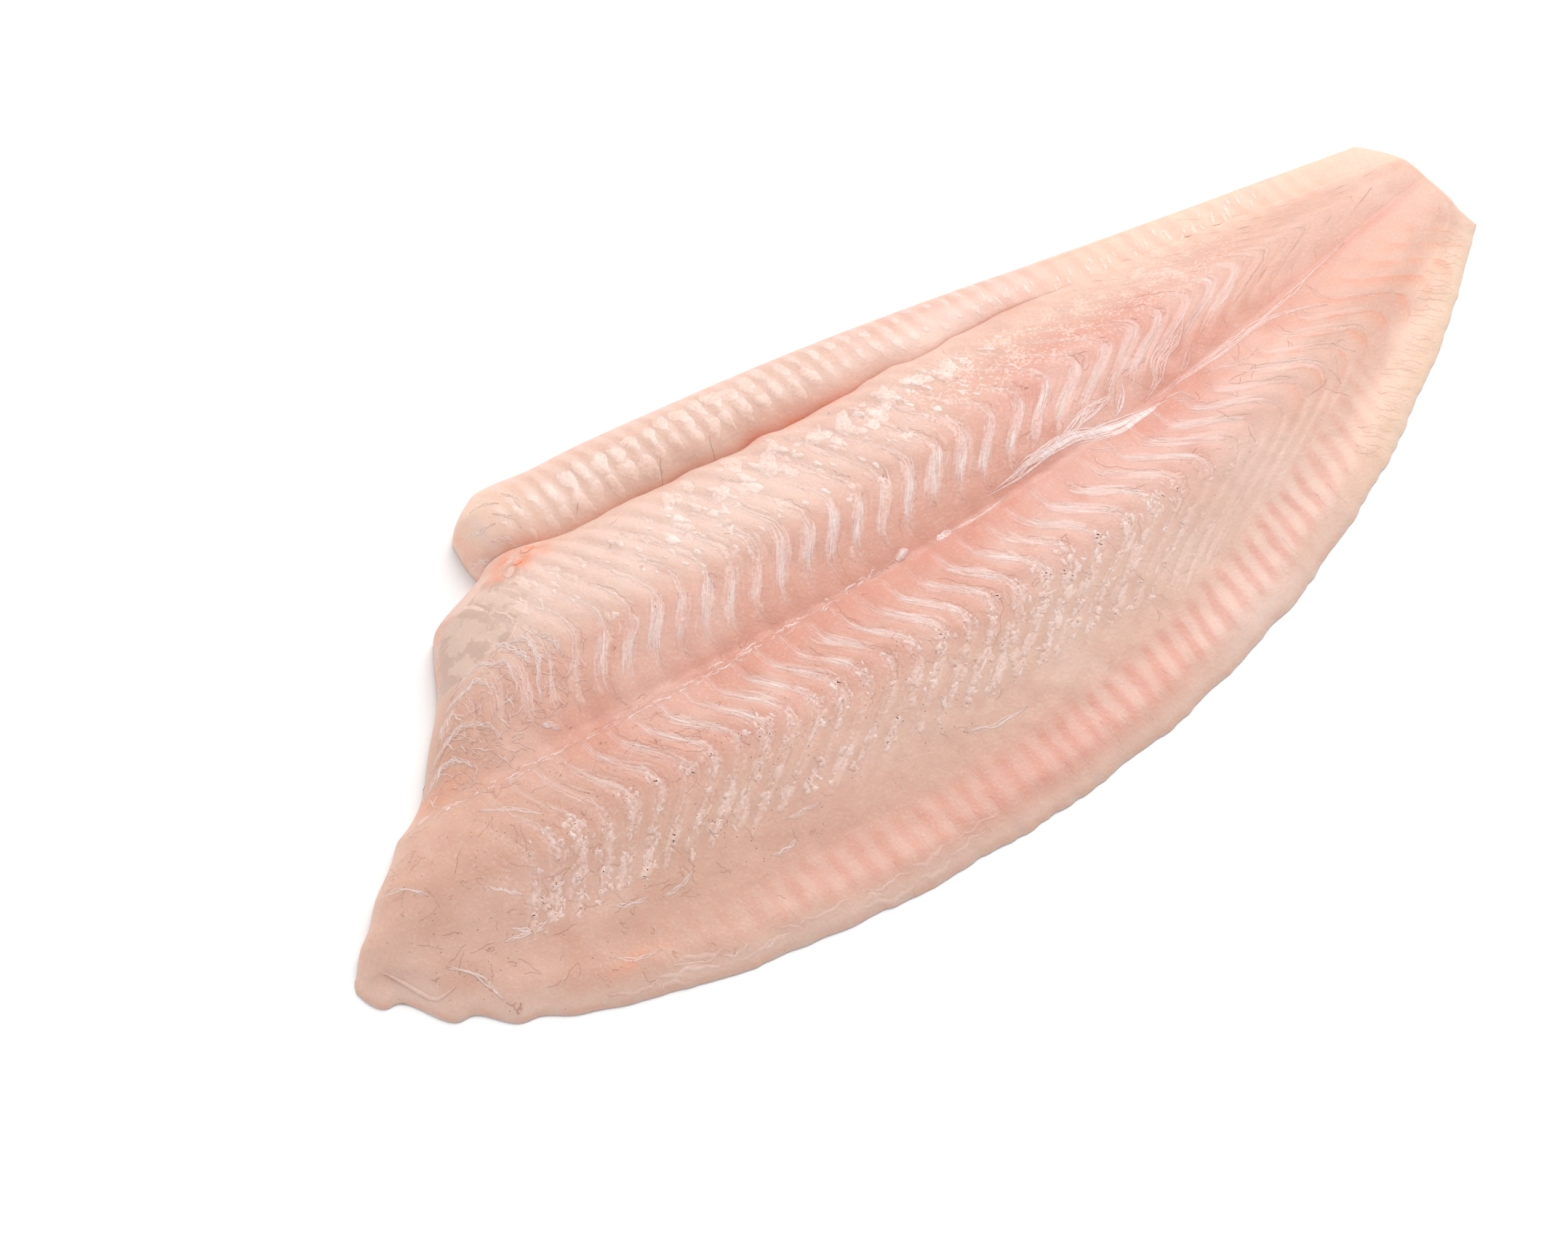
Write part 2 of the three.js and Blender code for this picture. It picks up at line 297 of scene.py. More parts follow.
@dataclass(frozen=True)
class FilletHeights:
    """How high the fillet stands over the table, in mm, before its rims are rounded.

    Three numbers together are heights at the head, at the belly and at the tail.
    """

    plan: FilletPlan = FilletPlan()
    upper_lobe: float = 12.2
    lower_lobe: float = 10.2
    roll: float = 10.8
    groove_floor: float = 4.6
    frill: Triple = (2.4, 2.6, 1.4)
    faded_bed: Triple = (3.0, 4.0, 1.8)
    tail_valley: float = 1.9
    tail_crest: float = 2.1
    tail_roll: float = 1.5
    flat_roll: float = 1.6
    rounding_share: float = 0.9
    frill_edge: float = 6.0
    bank_start: float = 0.72

    def along(self, x: Array, head: float, middle: float, tail: float) -> Array:
        """A height along the fish: from head to middle over 75 mm, then eased down to tail."""
        return mix(mix(head, middle, ease(x / 75)), tail, ease((x - 120) / 130))

    def valley(self, x: Array) -> Array:
        """The height of the midline valley."""
        return self.along(x, 0.45 * self.lower_lobe, 0.8 * self.lower_lobe, self.tail_valley)

    def lower(self, x: Array, out: Array) -> Array:
        """Up from the valley to the lobe's crest, then eased down to the thin frill."""
        crest = self.along(x, 0.56 * self.lower_lobe, self.lower_lobe, self.tail_crest)
        down = (crest - self.along(x, *self.frill)) * ease((out - 0.25) / 0.58)
        return mix(self.valley(x), crest, 1 - (1 - clamp(out / 0.28)) ** 1.7) - down

    def depth(self, x: Array) -> Array:
        """1 where the groove is deep, 0 towards the tail where it has faded."""
        return ease((0.71 * self.plan.length - x) / 42)

    def upper(self, x: Array, out: Array) -> Array:
        """A dome with a steep round bank into the groove, or a gentle one near the tail."""
        crest = self.along(x, 0.54 * self.upper_lobe, self.upper_lobe, self.tail_crest)
        dome = mix(self.valley(x), crest, 1 - (1 - clamp(out / 0.6)) ** 1.7)
        bank = clamp((out - self.bank_start) / (1 - self.bank_start))
        steep = mix(self.groove_bed(x), dome, np.sqrt(np.maximum(1 - bank**2.2, 0)))
        gentle = dome - (crest - self.groove_bed(x)) * ease((out - 0.45) / 0.55)
        return mix(gentle, steep, self.depth(x))

    def rolled(self, x: Array, out: Array) -> Array:
        """A quarter circle up from the groove's bed to the roll's crest, then level."""
        inner = np.sqrt(np.maximum(1 - (1 - clamp(2 * out)) ** 2, 0))
        return mix(self.groove_bed(x), self.roll_crest(x), inner)

    def roll_crest(self, x: Array) -> Array:
        """The roll's height: level along the belly, then eased down to the tail."""
        swell = ease((0.9 * self.plan.length - x) / 90)
        return mix(self.flat_roll, self.along(x, self.roll, 0.83 * self.roll, self.tail_roll), swell)

    def groove_bed(self, x: Array) -> Array:
        """The groove's lowest line, which rises towards the roll's crest from the belly on."""
        bed = mix(self.along(x, *self.faded_bed), self.groove_floor, self.depth(x))
        return bed + 0.6 * ease((x - 98) / 50) * np.maximum(self.roll_crest(x) - bed, 0)

    def body(self, x: Array, across: Array) -> Array:
        """The height at a place, from the lobe or roll that it lies on."""
        g = self.plan.groove_across
        out = clamp((across - g) / (1 - g))
        high = np.where(across < g, self.upper(x, clamp(across / g)), self.rolled(x, out))
        return np.where(across < 0, self.lower(x, clamp(-across)), high)

    def rounded(self, height: Array, from_rim: Array, across: Array) -> Array:
        """A quarter round at the rim: h * sqrt(1 - (1 - d / r)^2) for the distance d.

        The radius r is 0.9 h, but the lower frill thins out over `frill_edge` mm, to a sharper
        edge: there most of the round is replaced by the wedge h * (1 - (1 - d / r)^2).

        Args:
            height: the height h before rounding.
            from_rim: the distance d from the rim.
            across: where it is across the fish.

        Returns:
            The rounded height.
        """
        own = self.rounding_share * np.maximum(height, 0.2)
        frill = ease((-across - 0.45) / 0.3)
        inward = clamp(from_rim / mix(own, np.maximum(own, self.frill_edge), frill))
        wedge = 1 - (1 - inward) ** 2
        return height * mix(np.sqrt(wedge), wedge, 0.7 * frill)


@dataclass(frozen=True)
class FlakeSeams:
    """The folded seams between muscle flakes: their place, and how white and wide they show."""

    plan: FilletPlan = FilletPlan()
    first: float = 49.0
    pitch: float = 4.2
    growth: float = 0.0105
    fold_up: float = 6.4
    back_up: float = 0.66
    fold_down: float = 5.8
    back_down: float = 1.5
    full_height: float = 32.0

    def fold(self, x: Array, t: Array) -> Array:
        """How far tailward a seam lies at t mm above the midline, or below it where t is under 0.

        Above: an eased step of `fold_up` mm, then back along a slope. Below: a step of
        `fold_down` mm, then back more steeply. Both are weaker at the head and drawn out
        towards the tail, and above the midline t is scaled to `full_height` at the groove.

        Args:
            x: along the fish, in mm.
            t: above the midline, in mm.

        Returns:
            The shift in mm.
        """
        height = np.maximum(self.plan.groove(x) - self.plan.midline(x), 12)
        up, down = np.maximum(t, 0) * self.full_height / height, np.maximum(-t, 0)
        above = self.fold_up * ease((up - 2.6) / 11) - self.back_up * soft_past(up, 14.6, 1.2)
        below = self.fold_down * ease((down - 4.8) / 10.5) - self.back_down * soft_past(down, 17.2, 1.4)
        drawn = mix(0.5, 1, ease((x - 30) / 40)) * (1 + 1.3 * ease((x - 112) / 75))
        return np.where(t > 0, above, below) * drawn

    def phase(self, x: Array, y: Array) -> Array:
        """Counts seams: a whole number on each, as log(1 + g (x - fold - first) / pitch) / g."""
        at = x - self.fold(x, y - self.plan.midline(x))
        return np.log(np.maximum(1 + self.growth * (at - self.first) / self.pitch, 0.05)) / self.growth

    def trace(self, count: Array, t: Array) -> Array:
        """The place on a seam: phase() solved for x by repeated steps.

        Args:
            count: which seam; a share of one lies between two seams.
            t: above the midline, in mm.

        Returns:
            x and y in mm, in the last axis.
        """
        at = self.first + self.pitch * (np.exp(self.growth * count) - 1) / self.growth
        x = at + 0 * t
        for _ in range(SOLVING_STEPS):
            x = 0.5 * x + 0.5 * (at + self.fold(x, t))
        return np.stack([x, self.plan.midline(x) + t], -1)

    def heading(self, count: Array, t: Array) -> Array:
        """The angle at which a seam runs at a place, from two places 1 mm apart."""
        ahead = self.trace(count, t + 0.5) - self.trace(count, t - 0.5)
        return np.arctan2(ahead[:, 1], ahead[:, 0])

    def whiteness(self, x: Array, y: Array) -> Array:
        """Strong on both flanks of the midline valley, faint elsewhere, none on the frills."""
        t = y - self.plan.midline(x)
        flank_up = window(t, 5.6, 12.0, 3.0) * window(x, 55, 185, 30)
        flank_low = window(-t, 6.0, 13.0, 3.0) * window(x, 44, 172, 20)
        thin_up = 0.35 * window(t, 2, 27, 4) * window(x, 45, 165, 25)
        thin_low = 0.4 * window(-t, 1, 17, 3) * window(x, 30, 165, 15)
        return clamp(np.maximum(np.maximum(flank_up, flank_low), thin_up + thin_low))


# ---- Putting arrays into meshes ----
def make_object(name: str, points: Array, faces: Sequence[Sequence[int]]) -> Piece:
    """A smooth-shaded object at the origin, with its place in its mesh.

    Args:
        name: the piece's name.
        points: its corners, in metres, one row each.
        faces: its faces, each a list of corner numbers.

    Returns:
        The new object, linked to the scene.
    """
    mesh = bpy.data.meshes.new(name)
    mesh.from_pydata(points.tolist(), [], faces)
    mesh.validate()
    mesh.update()
    mesh.polygons.foreach_set("use_smooth", np.ones(len(mesh.polygons), bool))
    mesh.set_sharp_from_angle(angle=SHARP_ANGLE)
    thing = bpy.data.objects.new(name, mesh)
    bpy.context.scene.collection.objects.link(thing)
    return thing


def grid_quads(rows: int, columns: int) -> Array:
    """The faces of a grid of corners: (i, i + columns, i + columns + 1, i + 1) for each cell."""
    corner = (np.arange(rows - 1)[:, None] * columns + np.arange(columns - 1)).ravel()
    return np.stack([corner, corner + columns, corner + columns + 1, corner + 1], 1)


def set_attribute(thing: Piece, name: str, values: Array) -> None:
    """Stores three numbers at every corner of the piece's mesh.

    Args:
        thing: the piece.
        name: the attribute's name, which its finish reads.
        values: one row per corner.
    """
    attribute = thing.data.attributes.new(name, "FLOAT_VECTOR", "POINT")
    attribute.data.foreach_set("vector", np.ascontiguousarray(values, np.float32).ravel())


# ---- Shader maths as expressions ----
class Wire:
    """A node socket that can be added, multiplied and compared like a number."""

    def __init__(self, paint: "Paint", socket: bpy.types.NodeSocket) -> None:
        """Keeps the socket and the paint whose nodes it belongs to."""
        self.paint = paint
        self.socket = socket

    def _math(self, operation: str, *others: Term, first: int = 0) -> "Wire":
        """One Math node on this wire and the others; first is the input that this wire takes."""
        values = list(others)
        values.insert(first, self)
        node = self.paint.node("ShaderNodeMath", {"operation": operation}, dict(enumerate(values)))
        return Wire(self.paint, node.outputs[0])

    def __add__(self, other: Term) -> "Wire":
        """self + other."""
        return self._math("ADD", other)

    __radd__ = __add__

    def __sub__(self, other: Term) -> "Wire":
        """self - other."""
        return self._math("SUBTRACT", other)

    def __rsub__(self, other: Number) -> "Wire":
        """other - self."""
        return self._math("SUBTRACT", other, first=1)

    def __mul__(self, other: Term) -> "Wire":
        """self * other."""
        return self._math("MULTIPLY", other)

    __rmul__ = __mul__

    def __truediv__(self, other: Term) -> "Wire":
        """self / other."""
        return self._math("DIVIDE", other)

    def __rtruediv__(self, other: Number) -> "Wire":
        """other / self."""
        return self._math("DIVIDE", other, first=1)

    def __abs__(self) -> "Wire":
        """The size of self without its sign."""
        return self._math("ABSOLUTE")

    def sine(self) -> "Wire":
        """The sine of self, in radians."""
        return self._math("SINE")

    def fract(self) -> "Wire":
        """What is left of self above the whole number below it."""
        return self._math("FRACT")

    def most(self, other: Term) -> "Wire":
        """The larger of self and other."""
        return self._math("MAXIMUM", other)

    def ramp(self, start: Term, end: Term) -> "Wire":
        """An eased ramp: 0 at start and 1 at end, or the other way round if end is lower."""
        node = self.paint.node(
            "ShaderNodeMapRange",
            {"interpolation_type": "SMOOTHSTEP"},
            {"Value": self, "From Min": start, "From Max": end},
        )
        return Wire(self.paint, node.outputs[0])

    def parts(self) -> tuple["Wire", "Wire", "Wire"]:
        """The three numbers of a vector."""
        node = self.paint.node("ShaderNodeSeparateXYZ", {}, {0: self})
        return tuple(Wire(self.paint, node.outputs[i]) for i in range(3))


Input = Union[Wire, Number, Sequence[float]]


class Paint:
    """A material being made: its nodes come from here, and its surface is set at the end."""

    def __init__(self, name: str) -> None:
        """Starts an empty material with one surface shader.

        Args:
            name: the material's name.
        """
        self.material = bpy.data.materials.new(name)
        self.material.use_nodes = True
        self.tree = self.material.node_tree
        self.tree.nodes.clear()
        self.surface = self.tree.nodes.new("ShaderNodeBsdfPrincipled")
        output = self.tree.nodes.new("ShaderNodeOutputMaterial")
        self.tree.links.new(self.surface.outputs[0], output.inputs[0])

    def node(self, kind: str, settings: dict, inputs: dict) -> bpy.types.Node:
        """Any node: its settings are set first, then the values or links of its sockets.

        Args:
            kind: the node's type.
            settings: its own properties by name.
            inputs: its sockets by name or number, each a value or a Wire.

        Returns:
            The node.
        """
        made = self.tree.nodes.new(kind)
        for key, value in settings.items():
            setattr(made, key, value)
        for key, value in inputs.items():
            self.feed(made.inputs[key], value)
        return made

    def feed(self, socket: bpy.types.NodeSocket, value: Input) -> None:
        """Links a Wire to a socket, or sets the socket's own value."""
        if isinstance(value, Wire):
            self.tree.links.new(value.socket, socket)
        else:
            socket.default_value = value

    def read(self, name: str) -> tuple[Wire, Wire, Wire]:
        """The three numbers that the mesh keeps at its corners under this name."""
        node = self.node("ShaderNodeAttribute", {"attribute_name": name}, {})
        return Wire(self, node.outputs["Vector"]).parts()

    def millimetres(self) -> Wire:
        """The place on the object, in mm."""
        place = self.node("ShaderNodeTexCoord", {}, {}).outputs["Object"]
        inputs = {0: Wire(self, place), "Scale": 1 / MM}
        return Wire(self, self.node("ShaderNodeVectorMath", {"operation": "SCALE"}, inputs).outputs[0])

    def vector(self, x: Input, y: Input, z: Input = 0.0) -> Wire:
        """Three numbers as one vector."""
        return Wire(self, self.node("ShaderNodeCombineXYZ", {}, {0: x, 1: y, 2: z}).outputs[0])

    def noise(self, at: Wire, scale: float, detail: float = 2.0, rough: float = 0.5) -> Wire:
        """Soft noise between 0 and 1, with `scale` features to the unit of `at`."""
        inputs = {"Vector": at, "Scale": scale, "Detail": detail, "Roughness": rough}
        return Wire(self, self.node("ShaderNodeTexNoise", {}, inputs).outputs[0])

    def cells(self, at: Wire, scale: float) -> Wire:
        """The distance to the nearest of points scattered one to each cell, `scale` cells to a unit."""
        return Wire(self, self.node("ShaderNodeTexVoronoi", {}, {"Vector": at, "Scale": scale}).outputs[0])

    def blend(self, share: Input, under: Input, over: Input) -> Wire:
        """A colour between under and over: over where share is 1."""
        inputs = {"Factor_Float": share, "A_Color": under, "B_Color": over}
        made = self.node("ShaderNodeMix", {"data_type": "RGBA", "clamp_factor": True}, {})
        for socket in made.inputs:
            if socket.identifier in inputs:
                self.feed(socket, inputs[socket.identifier])
        return Wire(self, next(o for o in made.outputs if o.identifier == "Result_Color"))

    def bump(self, height: Wire, depth: float) -> Wire:
        """A normal from a height: depth is how many metres a height of 1 stands for."""
        return Wire(self, self.node("ShaderNodeBump", {}, {"Height": height, "Distance": depth}).outputs[0])

    def set_surface(self, **values: Input) -> bpy.types.Material:
        """Sets the surface shader's sockets, named with _ for each space, and gives the material."""
        for name, value in values.items():
            self.feed(self.surface.inputs[name.replace("_", " ")], value)
        return self.material


Colour = tuple[float, float, float, float]


def shade(red: float, green: float, blue: float) -> Colour:
    """A screen colour as the linear one that a shader takes: ((c + 0.055) / 1.055)^2.4.

    Args:
        red: red as it shows on screen, 0 to 1.
        green: green, likewise.
        blue: blue, likewise.

    Returns:
        The linear colour, with an alpha of 1.
    """
    linear = [c / 12.92 if c < 0.04045 else ((c + 0.055) / 1.055) ** 2.4 for c in (red, green, blue)]
    return (*linear, 1.0)


# ---- Finishes ----
@dataclass(frozen=True)
class FleshGrain:
    """The noises of one flesh material: three over the whole piece, two drawn out along the seams."""

    broad: Wire
    mottle: Wire
    fine: Wire
    fibres: Wire
    feather: Wire

    @classmethod
    def on(cls, p: Paint, at: Wire, phase: Wire, from_mid: Wire) -> "FleshGrain":
        """Makes the noises.

        Args:
            p: the material being made.
            at: the place on the piece, in mm.
            phase: the count of seams there.
            from_mid: its distance above the midline, in mm.

        Returns:
            The noises.
        """
        broad, mottle, fine = p.noise(at, 0.05, 2), p.noise(at, 0.3, 3), p.noise(at, 1.9, 3)
        fibres = p.noise(p.vector(phase * 8.0, from_mid * 0.25), 1.0, 3, 0.6)
        feather = p.noise(p.vector(phase * 15.0, from_mid * 0.34, broad * 3.0), 1.0, 2, 0.55)
        return cls(broad, mottle, fine, fibres, feather.ramp(0.42, 0.66))


@dataclass(frozen=True)
class MoistFlesh:
    """Raw flatfish flesh: pale, translucent and wet, with white seams and rosy bands."""

    plain: Colour = shade(0.862, 0.684, 0.61)
    rosy: Colour = shade(0.85, 0.585, 0.515)
    # A paler flesh colour: real paleness in bands and feathering, and painted highlight on the roll, the
    # upper lobe's crest and the rim.
    pale: Colour = shade(0.925, 0.80, 0.745)
    # A creamy flesh colour: real cream and mottle, and painted light at the roll's end and the rim.
    cream: Colour = shade(0.965, 0.815, 0.72)
    # A darker flesh colour, painted as shade: the head's lower lobe, the midline valley and the sloped frill.
    painted_shade: Colour = shade(0.80, 0.61, 0.525)
    # Thin grey skin, and grey painted shade on the roll beside the groove.
    grey: Colour = shade(0.875, 0.755, 0.69)
    blotch: Colour = shade(0.71, 0.565, 0.51)
    fibre: Colour = shade(0.945, 0.86, 0.83)
    # The colour of painted highlights: the sheen patches and glints of wet flesh.
    sheen: Colour = shade(0.97, 0.86, 0.805)
    blush: Colour = shade(0.92, 0.61, 0.49)
    tissue: Colour = shade(0.965, 0.925, 0.915)
    # Brown of vessels and fin rays, and of painted shade in creases.
    vessel_and_crease_shade: Colour = shade(0.60, 0.36, 0.28)
    fleck: Colour = shade(0.45, 0.33, 0.28)
    band_pitch: float = 3.8
    roughness: float = 0.40
    coat: float = 0.10
    bump_depth: float = 0.00022
    light_reach: float = 0.0022

    def make(self, name: str, depth: float) -> bpy.types.Material:
        """Builds the flesh from the flake counts and tints that the mesh keeps.

        Args:
            name: the material's name.
            depth: how much of the light passes under the surface.

        Returns:
            The material.
        """
        p = Paint(name)
        at = p.millimetres()
        phase, from_mid, white = p.read("flakes")
        veil, glint_zone, cream = p.read("marks")
        crumbs, apex, flecks = p.read("tissue")
        sheath, vessel_and_crease_shade, flake = p.read("strokes")
        grain = FleshGrain.on(p, at, phase, from_mid)
        fine, mottle = grain.fine, grain.mottle

        colour = self.tinted(p, grain, from_mid, cream)
        wobble = (p.noise(at, 0.16, 2) - 0.5) * 0.30 + (grain.fibres - 0.5) * 0.16
        turn = (phase + wobble).fract()
        # Painted shade: rosier in the hollow on the tailward side of each flake, just before the next seam.
        painted_hollow_shade = turn.ramp(0.62, 0.9) * turn.ramp(1.0, 0.92)
        colour = p.blend(painted_hollow_shade * 0.22 * white.ramp(0.1, 0.7), colour, self.rosy)
        colour = p.blend(turn.ramp(0.3, 0.95) * apex * mottle.ramp(0.3, 0.6) * 0.55, colour, self.blush)
        colour = p.blend(grain.feather * crumbs.most(white) * 0.2, colour, self.pale)
        # Painted glints: fine noise lifted to the sheen colour on the upper lobe, by the groove towards the
        # tail.
        bright = (0.6 * fine + 0.4 * mottle).ramp(0.52, 0.57) * glint_zone
        colour = p.blend(bright * 0.45, colour, self.sheen)
        streak, crumb = self.seam_marks(p, grain, turn, crumbs)
        colour = p.blend(streak * 0.8 + crumb * 0.3, colour, self.fibre)
        colour = self.veiled(p, grain, at, veil, colour)

        sheath = sheath * (0.55 + 0.8 * fine) * (0.75 + 0.5 * grain.feather)
        broken = 0.4 + 0.6 * (fine + 0.35 * (mottle - 0.5)).ramp(0.36, 0.56)
        # The flake mark holds crumbly tissue's flakes, in fibre colour, and the painted sheen patches, in the
        # sheen colour.
        flake = flake * broken.most(flake.ramp(0.8, 1.0)) * 0.85
        colour = p.blend(flake, colour, p.blend(crumbs.ramp(0.2, 0.8), self.sheen, self.fibre))
        colour = p.blend(sheath, colour, self.tissue)
        colour = p.blend(vessel_and_crease_shade * (0.5 + fine), colour, self.vessel_and_crease_shade)
        fleck = p.cells(at, 1.0).ramp(0.14, 0.08) * p.noise(at, 0.13, 1).ramp(0.4, 0.55)
        colour = p.blend(fleck * flecks, colour, self.fleck)
        colour = p.blend((fine - 0.5).ramp(0.0, 0.3) * 0.22, colour, self.sheen)
        colour = p.blend((0.5 - fine).ramp(0.0, 0.3) * 0.16, colour, self.rosy)

        return p.set_surface(
            Base_Color=colour,
            Roughness=self.roughness + 0.2 * mottle,
            Normal=p.bump(fine * 0.3 + mottle * 0.8 + streak * 0.4 + sheath * 0.2, self.bump_depth),
            Subsurface_Weight=depth,
            Subsurface_Radius=(1.0, 0.42, 0.26),
            Subsurface_Scale=self.light_reach,
            Specular_IOR_Level=0.45,
            Coat_Weight=self.coat + 0.3 * flake + 0.2 * veil,
            Coat_Roughness=0.2,
        )

    def tinted(self, p: Paint, grain: FleshGrain, from_mid: Wire, cream: Wire) -> Wire:
        """The ground colour: the mesh's tints, painted shade and highlight among them, roll wedges and frill
        bands.

        Args:
            p: the material being made.
            grain: its noises.
            from_mid: the distance above the midline, in mm.
            cream: how creamy the flesh is, some of it painted light.

        Returns:
            The colour.
        """
        broad, mottle = grain.broad, grain.mottle
        rosy, pale, painted_shade = p.read("tints")
        frill, run, _ = p.read("edges")
        colour = p.blend(mottle.ramp(0.3, 0.7) * 0.25, self.plain, self.cream)
        # Painted shade, as the tints give it.
        colour = p.blend(painted_shade * (0.75 + 0.5 * broad), colour, self.painted_shade)
        colour = p.blend(rosy * (0.65 + 0.7 * mottle), colour, self.rosy)
        colour = p.blend(cream * (0.7 + 0.6 * mottle), colour, self.cream)
        # The paleness below is much of it painted highlight; on the roll it is broken into wedges at the rib
        # pitch.
        wedges = ((run / RIB_PITCH + (mottle - 0.5) * 0.7) * math.tau).sine().ramp(-0.8, 0.8)
        between_wedges = from_mid.ramp(34, 38) * (1 - wedges)
        colour = p.blend(pale * (0.7 + 0.6 * mottle) * (1 - 0.6 * between_wedges), colour, self.pale)
        colour = p.blend((broad - 0.5).ramp(0.0, 0.15) * 0.3, colour, self.pale)
        swing = run / self.band_pitch + (broad - 0.5) * 1.2 + (mottle - 0.5) * 0.4
        bands = (swing * math.tau).sine().ramp(-1.0, 0.9)
        colour = p.blend(frill * (1 - bands) * (0.35 + 0.5 * broad), colour, self.rosy)
        return p.blend(frill * bands * 0.25, colour, self.pale)

    def seam_marks(self, p: Paint, grain: FleshGrain, turn: Wire, crumbs: Wire) -> tuple[Wire, Wire]:
        """The white streak of each seam, and the crumbs of tissue beside it.

        Args:
            p: the material being made.
            grain: its noises.
            turn: how far each place lies from one seam to the next, 0 to 1.
            crumbs: where crumbly tissue lies.

        Returns:
            How strongly streaks and crumbs show.
        """
        phase, from_mid, white = p.read("flakes")
        from_seam = 0.5 - abs(turn - 0.5)
        uneven = p.noise(p.vector(phase * 0.9, from_mid * 0.14), 1.0, 1).ramp(0.25, 0.6)
        streak = from_seam.ramp(0.10 + 0.26 * white, 0.03) * white.ramp(0.1, 0.8)
        streak = streak * (0.35 + 0.65 * grain.feather) * uneven
        lumps = (0.6 * grain.fine + 0.4 * grain.fibres).ramp(0.44, 0.62)
        return streak, from_seam.ramp(0.42, 0.12) * crumbs * lumps

    def veiled(self, p: Paint, grain: FleshGrain, at: Wire, veil: Wire, colour: Wire) -> Wire:
        """The colour under thin grey skin with its brown stains, and the blush of torn flesh over it.

        Args:
            p: the material being made.
            grain: its noises.
            at: the place on the piece, in mm.
            veil: how much of the skin there is, and of the grey painted shade beside the groove.
            colour: the colour under it.

        Returns:
            The colour.
        """
        colour = p.blend(veil * 0.9, colour, self.grey)
        along, over, _ = at.parts()
        smear = p.noise(p.vector(along * 0.24 - over * 0.1, along * 0.08 + over * 0.24), 1.0, 5, 0.6)
        stain = smear.ramp(0.47, 0.56) * veil.ramp(0.3, 0.8)
        colour = p.blend(stain * (0.25 + 0.35 * grain.fine), colour, self.blotch)
        blush = p.read("edges")[2]
        return p.blend(blush * grain.mottle.ramp(0.3, 0.6), colour, self.blush)


